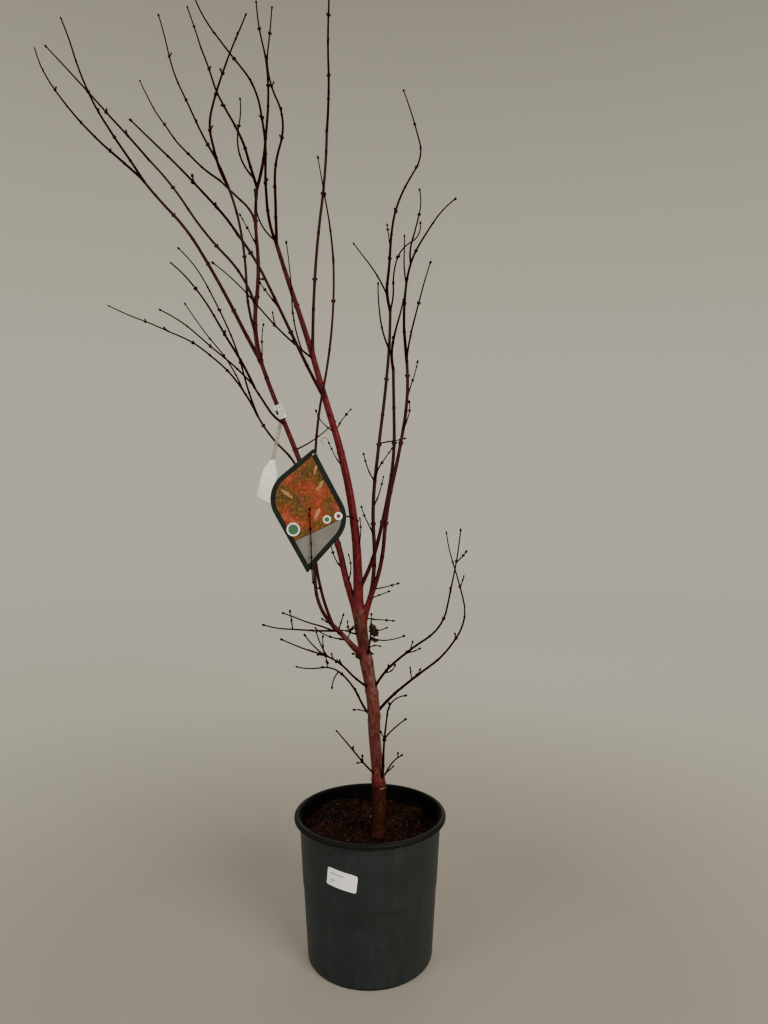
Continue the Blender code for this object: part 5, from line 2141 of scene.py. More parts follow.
@dataclass
class HangingTag:
    """The leaf-shaped card on its tie: a printed board with plain care signs of no maker's.

    The board bows a little: it stands back from its middle by its bow times the square of the
    height's share. Each printed field is a film 0.06 mm proud of the one under it. The corners to
    the right and left, and the place where picture and panel meet, are across and up from the
    board's top tip.
    """

    plant: Maple
    limb: str = "bough_front_whip"
    at: float = 0.254
    length: float = 0.176
    thickness: float = 0.0009
    right: tuple[float, float] = (0.0607, -0.1015)
    left: tuple[float, float] = (-0.0695, -0.0645)
    shoulder: float = 0.0435
    tip: float = 0.0016
    turn: float = 2.9
    hole: float = 0.0015
    hole_drop: float = 0.0085
    forward: float = 0.0040
    aside: float = 0.0019
    border: float = 0.0072
    bow: float = 0.0011
    divide: tuple[float, float] = (0.006, -0.1180)
    divide_way: tuple[float, float] = (-0.47, 0.883)
    film: float = 0.00006
    sharp: float = 40.0
    tie_radius: float = 0.0062
    tie_behind: float = 0.0038
    tie_girth: float = 0.0012
    tie_squeeze: float = 0.56

    def __post_init__(self) -> None:
        """Finds the place of the board's top tip, in front of the whip that carries it."""
        whip = self.plant.limbs[self.limb]
        before = float(whip.radius(self.at)) + self.forward
        self.top = whip.point(self.at) + np.array([-self.aside, -before, self.hole_drop])

    def placed(self, across: Array, up: Array, depth: float) -> Array:
        """Bows flat places, turns them in the board's plane about its top and sets them there.

        Args:
            across: how far across from the top tip.
            up: how far up from it.
            depth: how far behind the board's middle.

        Returns:
            The places.
        """
        share = (up + self.length / 2) / (self.length / 2)
        back = depth + self.bow * (share**2 - 1)
        beside, above = turned(across, up, self.turn)
        return self.top + xyz(beside, back, above)

    def plate(self, planes: Array, front: float, thick: float, slot: int = 0, rows: int = 70) -> Shell:
        """A thin plate over the space inside half planes.

        Args:
            planes: the space's sides.
            front: how far its front stands out from the board's middle, in metres.
            thick: its thickness.
            slot: its finish.
            rows: rows of its grid.

        Returns:
            The closed plate.
        """
        across, up = field_of(planes, rows)
        return sheet(self.placed(across, up, -front), self.placed(across, up, thick - front), slot)

    def build(self, wardrobe: Wardrobe) -> None:
        """Makes the board with its hole, its printed fields and the tie.

        Args:
            wardrobe: the finishes.
        """
        corners = np.array([(0.0, 0.0), self.left, (0.0, -self.length), self.right])
        radii = (self.tip, self.shoulder, self.tip, self.shoulder)
        sides = half_planes(rounded(corners, radii, (8, 40, 8, 40)))
        half, film = self.thickness / 2, self.film
        board = mesh_of("board", self.plate(sides, half, self.thickness, rows=150))
        hole = self.placed(np.zeros(1), np.full(1, -self.hole_drop), 0.0)[0]
        through = np.array([0.0, 0.006, 0.0])
        board = cut_from(board, [rod(self.hole, hole - through, hole + through)])
        board = sharpened(board, self.sharp)
        place_piece("hanging_tag_board", board, [wardrobe.board], "tag_board", "hanging_tag")
        fields = []
        for slot, sign in enumerate((1, -1)):
            way = sign * np.array(self.divide_way)
            parting = [[*way, float(way @ np.array(self.divide)) + 0.0003]]
            planes = np.concatenate([sides + [0.0, 0.0, self.border], parting])
            fields.append(self.plate(planes, half + film, film, slot))
        for motif in MOTIFS:
            front = half + film * motif.level
            fields.append(self.plate(motif.sides(), front, film, motif.slot, 26))
        finishes = [
            wardrobe.autumn, wardrobe.panel, wardrobe.rust, wardrobe.white_ink, wardrobe.green_ink,
            wardrobe.amber,
        ]
        printed = sharpened(mesh_of("print", joined(fields)), self.sharp)
        place_piece("hanging_tag_print", printed, finishes, "tag_board")
        self.build_tie(wardrobe.tie)

    def build_tie(self, finish: Material) -> None:
        """Makes the tie: a wire ring through the hole and round the whip, with its twisted ends.

        The ring's middle is as far behind the board as the solid's; the twist is two strands
        that wind about each other as cos and sin of the height.

        Args:
            finish: the wire's finish.
        """
        aside = self.tie_squeeze * math.sqrt(self.tie_radius**2 - self.tie_behind**2)
        sway = self.hole_drop * math.sin(math.radians(self.turn))
        middle = self.top + np.array([aside - sway, self.tie_behind, -self.hole_drop])
        angle, turn = circle(72)[:, None], circle(10)[None]
        radius = self.tie_radius + self.tie_girth / 2 * np.cos(turn)
        rings = xyz(
            self.tie_squeeze * radius * np.cos(angle), radius * np.sin(angle),
            self.tie_girth / 2 * np.sin(turn),
        )
        shells = [skin(rings[:, ::-1] + middle, poles=False)]
        foot = middle + self.tie_radius * np.array([0.40, -0.66, 0.0])
        share = np.linspace(0, 1, 30)
        for phase in (0.0, math.pi):
            wind = phase + 5 * np.pi * share
            strand = xyz(
                0.00045 * np.cos(wind) - 0.0008 * share, 0.00045 * np.sin(wind) - 0.0010 * share,
                0.005 * share,
            )
            wire = Limb(foot + strand, 0.0060, ((0.0, 0.0008), (0.0060, 0.0006)))
            shells.append(LimbSkin(wire, Wood.TWIG).shell())
        place_piece("tag_tie_ring", unmarked(shells), [finish], "tag_tie", "tag_tie")


@dataclass
class StemLabel:
    """The white film label wrapped round the left bough, with its long tail behind.

    A row of print is where it starts and ends, as shares of the sleeve and of half a turn, and
    its finish.
    """

    plant: Maple
    limb: str = "bough_left"
    at: float = 0.345
    length: float = 0.023
    width: float = 0.0150
    depth: float = 0.0092
    film: float = 0.00035
    neck_length: float = 0.070
    neck_width: float = 0.006
    panel_length: float = 0.066
    panel_width: float = 0.024
    lap: float = 0.006
    turn: float = 12.0
    tail_film: float = 0.0003
    print_rows: tuple[tuple[float, float, float, float, int], ...] = (
        (0.36, 0.70, 0.14, 0.42, 0),
        (0.86, 0.90, 0.24, 0.82, 1),
        (0.76, 0.80, 0.30, 0.78, 1),
        (0.61, 0.66, 0.52, 0.82, 1),
        (0.49, 0.54, 0.50, 0.80, 1),
        (0.37, 0.42, 0.52, 0.84, 1),
        (0.23, 0.27, 0.24, 0.76, 1),
        (0.11, 0.15, 0.30, 0.70, 1),
    )

    def __post_init__(self) -> None:
        """Finds the sleeve's lower end on the bough, and its own along, across and deep."""
        bough = self.plant.limbs[self.limb]
        self.low = bough.point(self.at - self.length / 2)
        self.core = unit(bough.point(self.at + self.length / 2) - self.low)
        self.across = unit(np.cross(self.core, [0.0, 1.0, 0.0]))
        self.deep = np.cross(self.core, self.across)
        self.tail_seat = bough.point(self.at - self.length / 2 + self.lap)

    def sleeve(self, out: float, low: float, high: float, angle: Array) -> Array:
        """A grid on the sleeve: an oval that is pinched towards its two side folds.

        Round the oval at angle a the film lies at half the width times cos a across, and half
        the depth times sin a times (1 + 0.10 cos 4a) deep, with creases that run down it.

        Args:
            out: how far out from the film's own middle.
            low: the grid's lower end, as a share of the sleeve.
            high: its upper end.
            angle: the angles round it, in radians.

        Returns:
            Places, rows by columns by three.
        """
        share = np.linspace(low, high, 22)[:, None]
        flare = 1 + 0.05 * (2 * share - 1) ** 2 - 0.03 * np.sin(3.3 * share + 2 * angle)
        crease = 0.00022 * np.sin(7 * angle + 4 * share) + 0.00012 * np.sin(23 * share + 3 * angle)
        beside = (self.width / 2 - self.film + out + crease) * flare * np.cos(angle)
        behind = (self.depth / 2 - self.film + out + crease) * flare * np.sin(angle)
        behind = behind * (1 + 0.10 * np.cos(4 * angle))
        up = (share * self.length)[..., None] * self.core
        return self.low + (up + beside[..., None] * self.across + behind[..., None] * self.deep)

    def build(self, wardrobe: Wardrobe) -> None:
        """Makes the sleeve, its print and its tail.

        Args:
            wardrobe: the finishes.
        """
        outside, inside = (self.sleeve(out, 0.0, 1.0, circle(64)) for out in (0.0, -self.film))
        wall = skin(np.concatenate([outside, inside[::-1]]), poles=False)
        place_piece("stem_label_sleeve", wall, [wardrobe.label], "label_film", "stem_label")
        shells = []
        for low, high, first, last, slot in self.print_rows:
            around = np.pi * np.linspace(first, last, 24)
            front, back = (self.sleeve(out, low, high, around) for out in (0.00008, -0.00006))
            shells.append(sheet(front, back, slot))
        inks = [wardrobe.black_ink, wardrobe.grey_ink]
        place_piece("stem_label_print", joined(shells), inks, "label_film")
        films = [wardrobe.clear_film, wardrobe.milky_film]
        place_piece("stem_label_tail_film", self.tail(), films, "label_film", "stem_label_tail")

    def tail(self) -> Shell:
        """The tail: a narrow neck that widens into a panel.

        Its half width goes from neck to panel by the smooth step, and it hangs in two slow
        waves, one along it and one across.

        Returns:
            The closed thin film, its neck in slot 0 and its panel in slot 1.
        """
        seat = self.tail_seat + np.array([0.0, self.depth / 2 + 0.0004 + GAP, 0.0])
        down = np.linspace(0, self.neck_length + self.panel_length, 90)[:, None]
        part = held((down - self.neck_length + 0.004) / 0.030)
        half = (self.neck_width + (self.panel_width - self.neck_width) * smooth_step(part)) / 2
        across = np.linspace(-1, 1, 13)[None]
        slant = 0.003 * across * held((down - self.neck_length) / self.panel_length)
        wave = 0.0016 * np.sin(34 * down + 0.2) * held(down / 0.03)
        wave = wave + 0.0012 * np.sin(2.2 * across + 60 * down) * part
        beside, up = turned(half * across, -down - slant, self.turn)
        front = (seat + xyz(beside, wave, up))[::-1]
        film = sheet(front, front + [0.0, self.tail_film, 0.0])
        heights = film.points[film.faces[:, :3]].mean(1)[:, 2]
        film.slots = (heights < seat[2] - self.neck_length).astype(int)
        return film


@dataclass
class PotSticker:
    """The small white label on the pot, which follows its wall and lifts at one corner.

    A rule is its left, right, bottom and top, in metres from the label's middle.
    """

    pot: NurseryPot
    width: float = 0.046
    height: float = 0.025
    thickness: float = 0.00022
    around: float = -21.5
    middle: float = 0.158
    turn: float = 8.0
    corner: float = 0.0022
    rules: tuple[tuple[float, float, float, float], ...] = (
        (-0.018, 0.003, 0.0052, 0.0064),
        (-0.018, -0.009, -0.0040, -0.0030),
        (-0.018, -0.012, -0.0068, -0.0060),
    )

    def on_wall(self, across: Array, up: Array, out: Array) -> Array:
        """Places on the wall: the flat place is turned, then wrapped round at the wall's radius.

        Args:
            across: how far across from the label's middle.
            up: how far up from it.
            out: how far off the wall.

        Returns:
            The places.
        """
        arc, above = turned(across, up, self.turn)
        height = self.middle + above
        radius = self.pot.wall_radius(height) + GAP + out
        angle = math.radians(self.around) + arc / radius
        return xyz(radius * np.sin(angle), -radius * np.cos(angle), height)

    def patch(self, box: tuple[float, float, float, float], low: float, high: float, slot: int) -> Shell:
        """A patch of it between two heights off the wall, with its corners rounded.

        Its half width falls by the corner's circle towards the upper and lower edge. Its upper
        right corner lifts as the square of the way into it, and two crossing waves ripple it.

        Args:
            box: left, right, bottom and top, in metres from its middle.
            low: the back's height off the wall.
            high: the front's height off the wall.
            slot: its finish.

        Returns:
            The closed patch.
        """
        left, right, bottom, top = box
        corner = min(self.corner, (top - bottom) / 2)
        share = (1 - np.cos(np.linspace(0, np.pi, 24))) / 2
        up = (bottom + (top - bottom) * share)[:, None]
        near = np.maximum(corner - np.minimum(up - bottom, top - up), 0)
        cut = corner - np.sqrt(np.maximum(corner**2 - near**2, 0))
        across = left + cut + (right - left - 2 * cut) * np.linspace(0, 1, 40)[None]
        up = up + 0 * across
        lift = 0.0011 * held((across + up - 0.0255) / 0.010) ** 2
        lift = lift + 0.00008 * np.sin(500 * across) * np.sin(410 * up)
        return sheet(self.on_wall(across, up, high + lift), self.on_wall(across, up, low + lift), slot)

    def build(self, wardrobe: Wardrobe) -> None:
        """Makes the label and its faint plain rules.

        Args:
            wardrobe: the finishes.
        """
        half, tall, thick = self.width / 2, self.height / 2, self.thickness
        label = self.patch((-half, half, -tall, tall), 0.0001, 0.0001 + thick, 0)
        rules = [self.patch(box, thick, thick + 0.00015, 1) for box in self.rules]
        finishes = [wardrobe.paper, wardrobe.grey_ink]
        place_piece("pot_label", joined([label, *rules]), finishes, "label_film", "pot_sticker")


# Finishes.


def linear(colour: str) -> tuple[float, float, float, float]:
    """Turns a colour to linear light: (v / 12.92), or ((v + 0.055) / 1.055) to the power 2.4.

    Args:
        colour: an sRGB hex colour, such as #7a2018.

    Returns:
        Red, green, blue and a full alpha.
    """
    parts = [int(colour[place : place + 2], 16) / 255 for place in (1, 3, 5)]
    red, green, blue = (
        part / 12.92 if part <= 0.04045 else ((part + 0.055) / 1.055) ** 2.4 for part in parts
    )
    return red, green, blue, 1.0


def fit(tree: bpy.types.NodeTree, node: bpy.types.Node, settings: dict[str | int, object]) -> None:
    """Sets a node up.

    Args:
        tree: its tree.
        node: the node.
        settings: its own settings and its sockets' values, by name or place. An output given as
            a socket's value is linked to it, and "stops" are a ramp's places and hex colours.
    """
    for name, value in settings.items():
        if name == "stops":
            stretch = node.color_ramp.elements
            while len(stretch) < len(value):
                stretch.new(0.5)
            for element, (place, colour) in zip(stretch, value):
                element.position, element.color = place, linear(colour)
        elif hasattr(node, str(name)):
            setattr(node, name, value)
        elif isinstance(value, Socket):
            tree.links.new(value, node.inputs[name])
        else:
            node.inputs[name].default_value = value


def add_node(
    tree: bpy.types.NodeTree, kind: str, output: str | int, settings: dict[str | int, object]
) -> Socket:
    """Adds one node with its settings and links.

    Args:
        tree: the material's nodes.
        kind: the node's type.
        output: the output that is wanted, by name or place.
        settings: as for fit.

    Returns:
        That output.
    """
    node = tree.nodes.new("ShaderNode" + kind)
    fit(tree, node, settings)
    return node.outputs[output]


def started(name: str) -> tuple[Material, Callable[..., Socket]]:
    """A new material, and the function that adds a node to it."""
    material = bpy.data.materials.new(name)
    material.use_nodes = True
    return material, partial(add_node, material.node_tree)


def finished(material: Material, settings: dict[str | int, object]) -> Material:
    """The material, with its Principled shader set up as fit does."""
    fit(material.node_tree, material.node_tree.nodes["Principled BSDF"], settings)
    return material


def mottled(
    name: str,
    noise: dict[str | int, object],
    stops: tuple[tuple[float, str], ...],
    relief: dict[str | int, object],
    look: dict[str | int, object],
) -> Material:
    """A material whose colours and relief follow one noise.

    Args:
        name: its name.
        noise: the noise's settings.
        stops: colours along the noise's value.
        relief: the bump's settings.
        look: the shader's plain values.

    Returns:
        The material.
    """
    material, add = started(name)
    place = add("TexCoord", "Object", {})
    value = add("TexNoise", "Fac", {**noise, "Vector": place})
    colour = add("ValToRGB", "Color", {"Fac": value, "stops": stops})
    raised = add("Bump", "Normal", {**relief, "Height": value})
    return finished(material, {**look, "Base Color": colour, "Normal": raised})


@dataclass(frozen=True)
class Moulded:
    """Injection-moulded polypropylene: satin, with a haze of dust in slow clouds and streaks."""

    name: str
    colour: str
    middle: str
    dusty: str
    roughness: float
    shine: float

    def make(self) -> Material:
        """Builds the material: slow clouds of haze, streaks down the wall and a fine grain.

        Returns:
            The material.
        """
        material, add = started(self.name)
        place = add("TexCoord", "Object", {})
        # Clouds about 45 mm across, and streaks 6 mm wide and 50 mm long.
        cloud = add(
            "TexNoise", "Fac", {"Scale": 22.0, "Detail": 5.0, "Roughness": 0.6, "Vector": place}
        )
        tall = add("Mapping", "Vector", {"Scale": (1.0, 1.0, 0.12), "Vector": place})
        streak = add(
            "TexNoise", "Fac", {"Scale": 160.0, "Detail": 4.0, "Roughness": 0.7, "Vector": tall}
        )
        both = add("Math", "Value", {"operation": "MULTIPLY", 0: cloud, 1: streak})
        stops = (0.16, self.colour), (0.30, self.middle), (0.48, self.dusty)
        colour = add("ValToRGB", "Color", {"Fac": both, "stops": stops})
        least, most = self.roughness - 0.08, self.roughness + 0.12
        span = {"From Min": 0.3, "From Max": 0.7, "To Min": least, "To Max": most}
        rough = add("MapRange", "Result", {**span, "Value": cloud})
        # A satin mould leaves a grain of about 0.7 mm.
        grain = add("TexNoise", "Fac", {"Scale": 1400.0, "Detail": 2.0, "Vector": place})
        raised = add("Bump", "Normal", {"Strength": 0.10, "Distance": 0.0004, "Height": grain})
        look = {"Base Color": colour, "Roughness": rough, "Normal": raised}
        return finished(material, {"IOR": 1.49, "Specular IOR Level": self.shine, **look})


@dataclass(frozen=True)
class Speckled:
    """A rough, matt stuff of crumbs: peat, bark, dry leaf or grit, mottled at one scale."""

    name: str
    dark: str
    middle: str
    light: str
    grain: float
    roughness: float = 0.9
    depth: float = 0.0006
    shine: float = 0.10

    def make(self) -> Material:
        """Builds the material: three colours dealt by noise of its own grain, and a bump.

        Returns:
            The material.
        """
        noise = {"Scale": 1.0 / self.grain, "Detail": 6.0, "Roughness": 0.65}
        stops = (0.36, self.dark), (0.50, self.middle), (0.66, self.light)
        look = {"Roughness": self.roughness, "Specular IOR Level": self.shine}
        return mottled(self.name, noise, stops, {"Strength": 0.7, "Distance": self.depth}, look)


@dataclass(frozen=True)
class MapleBark:
    """Maple bark: thin, smooth and waxy, coral red when young and brown and grey at the foot.

    Long pale streaks run with the grain, warts sit at the nodes, and grey lichen clouds the oldest wood.
    Grey bloom on the trunk grows into a painted highlight up its right side.
    """

    name: str
    young: str
    red: str
    bright: str
    old: str
    brown: str
    grey: str
    roughness: float

    def make(self) -> Material:
        """Builds the bark from the limb's own marks: grain, age, scar, girth, and bloom with its painted
        highlight.

        Returns:
            The material.
        """
        material, add = started(self.name)
        grain = add("Attribute", "Vector", {"attribute_name": "grain"})
        age, scar, girth, share = (
            add("Attribute", "Fac", {"attribute_name": mark})
            for mark in ("age", "scar", "girth", "bloom")
        )
        place = add("TexCoord", "Object", {})
        # Flecks about 2 mm wide and 10 mm long.
        long = add("Mapping", "Vector", {"Scale": (1.0, 1.0, 0.20), "Vector": grain})
        streak = add(
            "TexNoise", "Fac", {"Scale": 500.0, "Detail": 6.0, "Roughness": 0.68, "Vector": long}
        )
        # Patches of grey bloom about 5 mm wide and 10 mm long; up the trunk's right side they carry a
        # painted highlight.
        wide = add("Mapping", "Vector", {"Scale": (1.0, 1.0, 0.55), "Vector": grain})
        bloom = add(
            "TexNoise", "Fac", {"Scale": 190.0, "Detail": 5.0, "Roughness": 0.7, "Vector": wide}
        )
        # Clouds of age about 14 mm across.
        cloud = add(
            "TexNoise", "Fac", {"Scale": 70.0, "Detail": 4.0, "Roughness": 0.6, "Vector": place}
        )
        reds, darks, browns, foot = (
            add("ValToRGB", "Color", {"Fac": streak, "stops": stops})
            for stops in (
                ((0.34, self.young), (0.50, self.red), (0.68, self.bright)),
                ((0.34, "#120102"), (0.50, "#220305"), (0.70, "#380a0b")),
                ((0.32, self.brown), (0.52, self.old), (0.70, self.grey)),
                ((0.34, "#160502"), (0.52, "#2b0e05"), (0.68, "#472415")),
            )
        )
        # Limbs under 4.5 mm thick are dark red, and those over 10 mm have the full red.
        stout = add("MapRange", "Result", {"From Min": 0.0045, "From Max": 0.0100, "Value": girth})
        bark = add("Mix", 2, {"data_type": "RGBA", 0: stout, 6: darks, 7: reds})
        oldness = add("Math", "Value", {"operation": "MULTIPLY_ADD", 0: age, 1: 2.4, 2: -2.5})
        aged = add(
            "Math", "Value",
            {"operation": "MULTIPLY_ADD", "use_clamp": True, 0: cloud, 1: 3.0, 2: oldness},
        )
        bark = add("Mix", 2, {"data_type": "RGBA", 0: aged, 6: bark, 7: browns})
        # The stock below the graft is dark brown, and turns to red bark over 13 mm.
        height = add("SeparateXYZ", "Z", {"Vector": place})
        span = {"From Min": 0.262, "From Max": 0.275, "To Min": 1.0, "To Max": 0.0}
        lowness = add("MapRange", "Result", {**span, "Value": height})
        bark = add("Mix", 2, {"data_type": "RGBA", 0: lowness, 6: bark, 7: foot})
        # Painted highlight: the bloom mark is stronger towards the trunk's lit right side.
        span = {"From Min": 0.42, "From Max": 0.62, "To Max": 0.85}
        bloom = add("MapRange", "Result", {**span, "Value": bloom})
        bloom = add("Math", "Value", {"operation": "MULTIPLY", 0: bloom, 1: share})
        bark = add("Mix", 2, {"data_type": "RGBA", 0: bloom, 6: bark, 7: linear(self.grey)})
        ring = add("Math", "Value", {"operation": "MULTIPLY", "use_clamp": True, 0: scar, 1: 0.45})
        bark = add("Mix", 2, {"data_type": "RGBA", 0: ring, 6: bark, 7: linear(self.young)})
        raised = add("Bump", "Normal", {"Strength": 0.35, "Distance": 0.0003, "Height": streak})
        look = {"Roughness": self.roughness, "Specular IOR Level": 0.10}
        return finished(material, {**look, "Base Color": bark, "Normal": raised})


@dataclass(frozen=True)
class Printed:
    """Print on card, film or paper: one ink or stock, with the slight mottle of the press."""

    name: str
    colour: str
    second: str
    roughness: float = 0.42
    grain: float = 0.004
    coat: float = 0.0
    shine: float = 0.5

    def make(self) -> Material:
        """Builds the material: two near colours dealt by noise of the print's own grain.

        Returns:
            The material.
        """
        noise = {"Scale": 1.0 / self.grain, "Detail": 4.0}
        stops = (0.38, self.colour), (0.62, self.second)
        look = {
            "Roughness": self.roughness, "IOR": 1.5, "Specular IOR Level": self.shine,
            "Coat Weight": self.coat, "Coat Roughness": 0.12,
        }
        return mottled(self.name, noise, stops, {"Strength": 0.12, "Distance": 0.0003}, look)


@dataclass(frozen=True)
class AutumnPrint:
    """A soft blur of autumn colours under gloss laminate: patches of coral, rust and olive."""

    name: str = "autumn_colours_print"
    roughness: float = 0.35

    def make(self) -> Material:
        """Builds the print: slow patches of hue, and leafy flecks of 4 mm over them.

        Returns:
            The material.
        """
        material, add = started(self.name)
        place = add("TexCoord", "Object", {})
        slow = add("TexNoise", "Fac", {"Scale": 34.0, "Detail": 2.0, "Vector": place})
        quick = add(
            "TexNoise", "Fac", {"Scale": 260.0, "Detail": 5.0, "Roughness": 0.7, "Vector": place}
        )
        stops = (
            (0.36, "#33330c"), (0.44, "#524210"), (0.51, "#6e3c11"), (0.58, "#8b2f1c"), (0.66, "#a14a34"),
        )
        hues = add("ValToRGB", "Color", {"Fac": slow, "stops": stops})
        stops = (0.36, "#120903"), (0.50, "#5c3115"), (0.66, "#a87444")
        flecks = add("ValToRGB", "Color", {"Fac": quick, "stops": stops})
        colour = add("Mix", 2, {"data_type": "RGBA", 0: 0.38, 6: hues, 7: flecks})
        gloss = {"Specular IOR Level": 0.25, "Coat Weight": 0.05, "Coat Roughness": 0.15}
        return finished(material, {"Roughness": self.roughness, **gloss, "Base Color": colour})


@dataclass(frozen=True)
class ClearFilm:
    """Polythene film: thin, milky and soft-glossed, so what lies behind it shows as a shade."""

    name: str
    colour: str
    light: str
    clear: float
    roughness: float = 0.36

    def make(self) -> Material:
        """Builds the film: partly see-through, with a soft wrinkle of about 6 mm.

        Returns:
            The material.
        """
        stops = (0.35, self.colour), (0.65, self.light)
        look = {"Roughness": self.roughness, "IOR": 1.2, "Transmission Weight": self.clear}
        wrinkle = {"Strength": 0.6, "Distance": 0.0010}
        return mottled(self.name, {"Scale": 160.0, "Detail": 2.0}, stops, wrinkle, look)


@dataclass(frozen=True)
class TentCloth:
    """The matt cloth of a light tent: an even glow comes through it, less near the floor."""

    name: str = "matt_tent_cloth"
    floor: str = "#837e73"
    low: str = "#a9a599"
    wall: str = "#bdb9ad"
    high: str = "#8e897f"
    glow: float = 0.42

    def make(self) -> Material:
        """Builds the cloth: its tint goes from floor to wall with the distance from the middle.

        Returns:
            The material.
        """
        material, add = started(self.name)
        place = add("TexCoord", "Object", {})
        far = add("VectorMath", "Value", {"operation": "LENGTH", 0: place})
        share = add("MapRange", "Result", {"From Min": 0.3, "From Max": 8.0, "Value": far})
        stops = (
            (0.02, self.floor), (0.16, self.low), (0.42, self.wall), (0.62, self.wall), (1.0, self.high),
        )
        tint = add("ValToRGB", "Color", {"Fac": share, "stops": stops})
        look = {"Roughness": 0.9, "Specular IOR Level": 0.1, "Emission Strength": self.glow}
        return finished(material, {**look, "Base Color": tint, "Emission Color": tint})


class Wardrobe:
    """Every finish of the object, made once."""

    def __init__(self) -> None:
        """Makes the materials."""
        # The pot: recycled polypropylene, satin under dust; the lip is darkened and the inside made near
        # black by painted shade.
        self.plastic = Moulded(
            "recycled_polypropylene", "#1a2020", "#1f2526", "#272d2d", 0.48, 0.30
        ).make()
        # Painted shade: the lip's outer face is darkened.
        self.lip_painted_shade = Moulded(
            "polypropylene_lip_painted_shade", "#080908", "#0c0e0d", "#121413", 0.60, 0.14
        ).make()
        # Painted shade: the inner wall is near black, as no light reaches it.
        self.inside_painted_shade = Moulded(
            "polypropylene_inside_painted_shade", "#020202", "#030302", "#060504", 0.75, 0.06
        ).make()
        # The mix: wet peat is near black, chips are brown and red, coir tan and grit chalky.
        self.mix = Speckled("peat_and_bark_fines", "#060201", "#0e0502", "#190a05", 0.004).make()
        self.dark_chip = Speckled("dark_bark_chip", "#080301", "#120703", "#1e0d06", 0.003).make()
        self.red_chip = Speckled("red_bark_chip", "#180807", "#2c120e", "#47231c", 0.003).make()
        self.fibre = Speckled("coir_fibre", "#22130c", "#3a2316", "#573a26", 0.004).make()
        self.grit = Speckled("pale_grit", "#4e4743", "#6f6862", "#938b85", 0.002, 0.8, 0.0002).make()
        # The wood: red and waxy, with corky pale callus, moss on dead wood and near-black shoots.
        self.bark = MapleBark(
            "waxy_maple_bark", "#2c060a", "#530e15", "#742c30", "#54281c", "#30120b", "#675a4e", 0.5
        ).make()
        self.callus = Speckled(
            "pale_graft_callus", "#5e4436", "#7d5f4d", "#96786a", 0.003, 0.8, 0.0001
        ).make()
        self.moss = Speckled("mossy_old_stub", "#100d07", "#1c180c", "#2e2914", 0.003).make()
        self.shoot_bark = Speckled(
            "dark_red_shoot_bark", "#0d0101", "#190202", "#2a0506", 0.006, 0.6, 0.0001, 0.01
        ).make()
        self.tip_bark = Speckled(
            "brown_red_tip_bark", "#090101", "#120302", "#1e0805", 0.006, 0.6, 0.0001, 0.01
        ).make()
        self.bud_scale = Speckled(
            "dark_bud_scales", "#0a0202", "#140303", "#220706", 0.002, 0.6, 0.0001, 0.01
        ).make()
        self.dry_leaf = Speckled(
            "dry_curled_leaf", "#14100b", "#241b12", "#3b2d1d", 0.004, 0.8, 0.0003
        ).make()
        # The tag: matt green card under satin inks and a laminated picture.
        self.board = Printed("dark_green_card", "#0e1613", "#141d18", 0.5, 0.02, 0.0, 0.15).make()
        self.autumn = AutumnPrint().make()
        self.panel = Printed("grey_print_panel", "#67665f", "#6f6d67", 0.40, 0.02, 0.1, 0.3).make()
        self.rust = Printed("rust_leaf_ink", "#561a12", "#7c3222", 0.36, 0.004, 0.3).make()
        self.amber = Printed("amber_leaf_ink", "#8a5a34", "#a87a52", 0.36, 0.004, 0.3).make()
        self.white_ink = Printed("white_badge_ink", "#e4e2da", "#eeece5", 0.36, 0.01, 0.3).make()
        self.green_ink = Printed("green_badge_ink", "#2c5a3c", "#3a6b49", 0.36, 0.01, 0.3).make()
        self.tie = Printed("plastic_coated_wire", "#5a564c", "#716d62", 0.4, 0.004).make()
        # The labels: thermal print, dull and soft-edged, on glossy film and on matt paper.
        self.black_ink = Printed("black_thermal_print", "#1a1a1a", "#262626", 0.6, 0.002).make()
        self.grey_ink = Printed("grey_thermal_print", "#3b3a38", "#52514e", 0.6, 0.002).make()
        self.label = Printed("white_label_film", "#eceae4", "#f2f0ea", 0.45, 0.008, 0.1).make()
        self.paper = Printed("white_label_paper", "#f2f0ec", "#f8f6f2", 0.6, 0.003).make()
        self.clear_film = ClearFilm("clear_polythene_neck", "#b9b4a8", "#cbc7bc", 0.75).make()
        self.milky_film = ClearFilm("milky_polythene_panel", "#eeebe3", "#fbf9f5", 0.10).make()
        self.backdrop = TentCloth().make()


# Stage.

CROWN = Vector((0.0, 0.0, 0.7))  # where the lamps point
SPREAD = 140  # degrees


@dataclass(frozen=True)
class Lamp:
    """A square soft light that faces the crown, which the camera doesn't see.

    Attributes:
        name: its name.
        place: where it hangs.
        side: its side, in metres.
        power: its power, in watts.
        colour: its colour, as sRGB hex.
    """

    name: str
    place: tuple[float, float, float]
    side: float
    power: float
    colour: str

    def hang(self) -> None:
        """Hangs it, with a grid before it that keeps its edge off the backdrop beside it."""
        light = bpy.data.lights.new(self.name, "AREA")
        light.size, light.energy, light.color = self.side, self.power, linear(self.colour)[:3]
        light.spread = math.radians(SPREAD)
        obj = bpy.data.objects.new(self.name, light)
        obj.location = self.place
        obj.rotation_euler = (CROWN - Vector(self.place)).to_track_quat("-Z", "Y").to_euler()
        obj.visible_camera = False
        bpy.context.scene.collection.objects.link(obj)


LAMPS = (
    Lamp("key", (1.9, -2.6, 1.9), 1.7, 72.0, "#fff6ea"),
    Lamp("fill", (-2.3, -2.0, 1.7), 1.7, 26.0, "#f4f6fa"),
    Lamp("rim", (0.6, 2.4, 1.9), 1.6, 10.0, "#fbf8f2"),
)


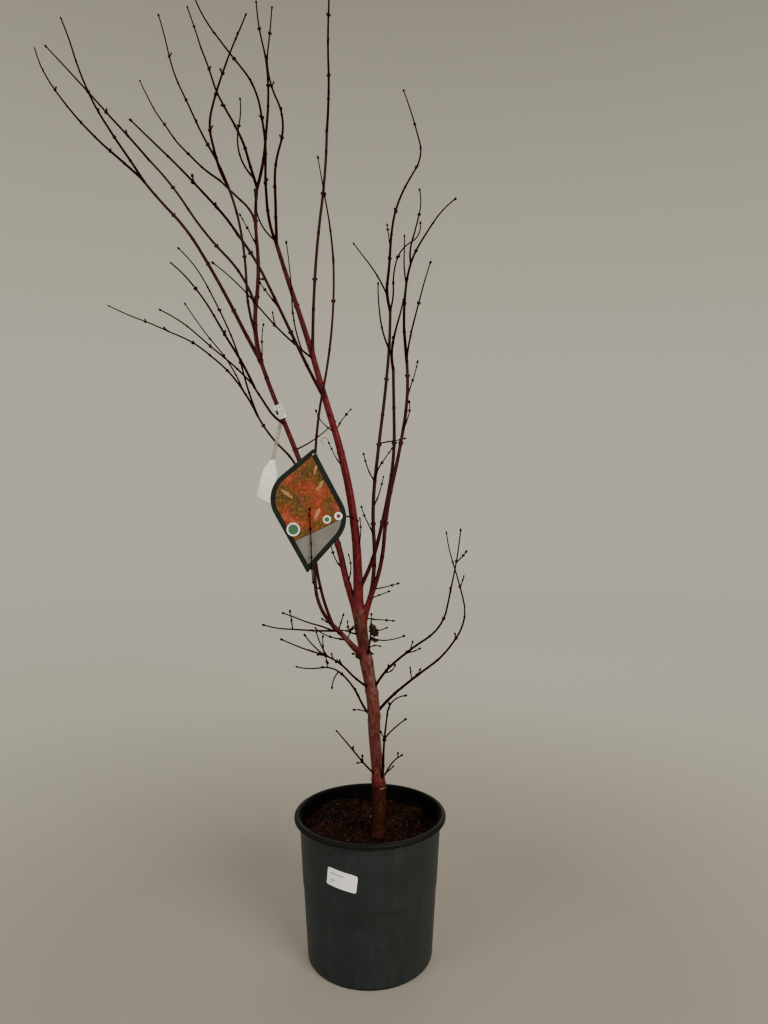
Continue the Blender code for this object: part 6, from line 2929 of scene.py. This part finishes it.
@dataclass
class Stage:
    """The pale floor that sweeps up all round, the soft lights and the camera."""

    middle: float = 0.02
    flat: float = 2.0
    bend: float = 3.0
    top: float = 7.6
    flat_rows: int = 12
    bend_rows: int = 24
    sides: int = 96
    sky: str = "#e9e5dd"
    sky_strength: float = 0.5
    camera_place: tuple[float, float, float] = (0.0211, -1.0985, 0.6708)
    focal: float = 720.0
    frame_height: float = 1024.0
    sensor: float = 36.0
    nearest: float = 0.02

    def build_floor(self, finish: Material) -> None:
        """Makes the floor: flat, then a quarter circle up to a low wall, turned all round.

        Args:
            finish: its matt finish.
        """
        angle = np.linspace(0, np.pi / 2, self.bend_rows)[1:]
        flat = np.linspace(self.middle, self.flat, self.flat_rows)
        radius = np.concatenate([flat, self.flat + self.bend * np.sin(angle)])
        height = np.concatenate([0 * flat, self.bend * (1 - np.cos(angle))])
        profile = np.stack([radius, height], -1)
        profile = np.concatenate([profile, [[self.flat + self.bend, self.top]]])
        mesh = mesh_of("floor", skin(lathe(profile[::-1], self.sides)))
        bowl = bmesh.new()
        bowl.from_mesh(mesh)
        rim = self.top - 1e-4
        lid = [face for face in bowl.faces if min(corner.co.z for corner in face.verts) > rim]
        bmesh.ops.delete(bowl, geom=lid, context="FACES")
        bowl.to_mesh(mesh)
        bowl.free()
        mesh.materials.append(finish)
        floor = bpy.data.objects.new("floor", mesh)
        bpy.context.scene.collection.objects.link(floor)
        floor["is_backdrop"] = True

    def build(self, finish: Material) -> None:
        """Builds floor, lights, world and camera.

        Args:
            finish: the floor's finish.
        """
        self.build_floor(finish)
        for lamp in LAMPS:
            lamp.hang()
        world = bpy.data.worlds.new("studio")
        world.use_nodes = True
        look = {"Color": linear(self.sky), "Strength": self.sky_strength}
        fit(world.node_tree, world.node_tree.nodes["Background"], look)
        bpy.context.scene.world = world
        lens = bpy.data.cameras.new("camera")
        lens.sensor_width = self.sensor
        lens.lens = self.focal * self.sensor / self.frame_height
        lens.clip_start = self.nearest
        camera = bpy.data.objects.new("camera", lens)
        camera.location = self.camera_place
        camera.rotation_euler = (math.pi / 2, 0.0, 0.0)
        bpy.context.scene.collection.objects.link(camera)
        bpy.context.scene.camera = camera


def main() -> None:
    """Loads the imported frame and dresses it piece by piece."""
    logging.basicConfig(level=logging.INFO, format="%(name)s: %(message)s")
    for leftover in list(bpy.data.objects):
        bpy.data.objects.remove(leftover)
    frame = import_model()
    solid_box = [list(corner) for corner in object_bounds()]
    LOG.info("frame of %d nodes", len(frame["nodes"]))
    wardrobe = Wardrobe()
    Stage().build(wardrobe.backdrop)
    plant = Maple(solid_box)
    plant.build(wardrobe)
    pot = NurseryPot()
    pot.build([wardrobe.plastic, wardrobe.inside_painted_shade, wardrobe.lip_painted_shade])
    PottingMix(pot).build(wardrobe)
    HangingTag(plant).build(wardrobe)
    StemLabel(plant).build(wardrobe)
    PotSticker(pot).build(wardrobe)


if __name__ == "__main__":
    main()
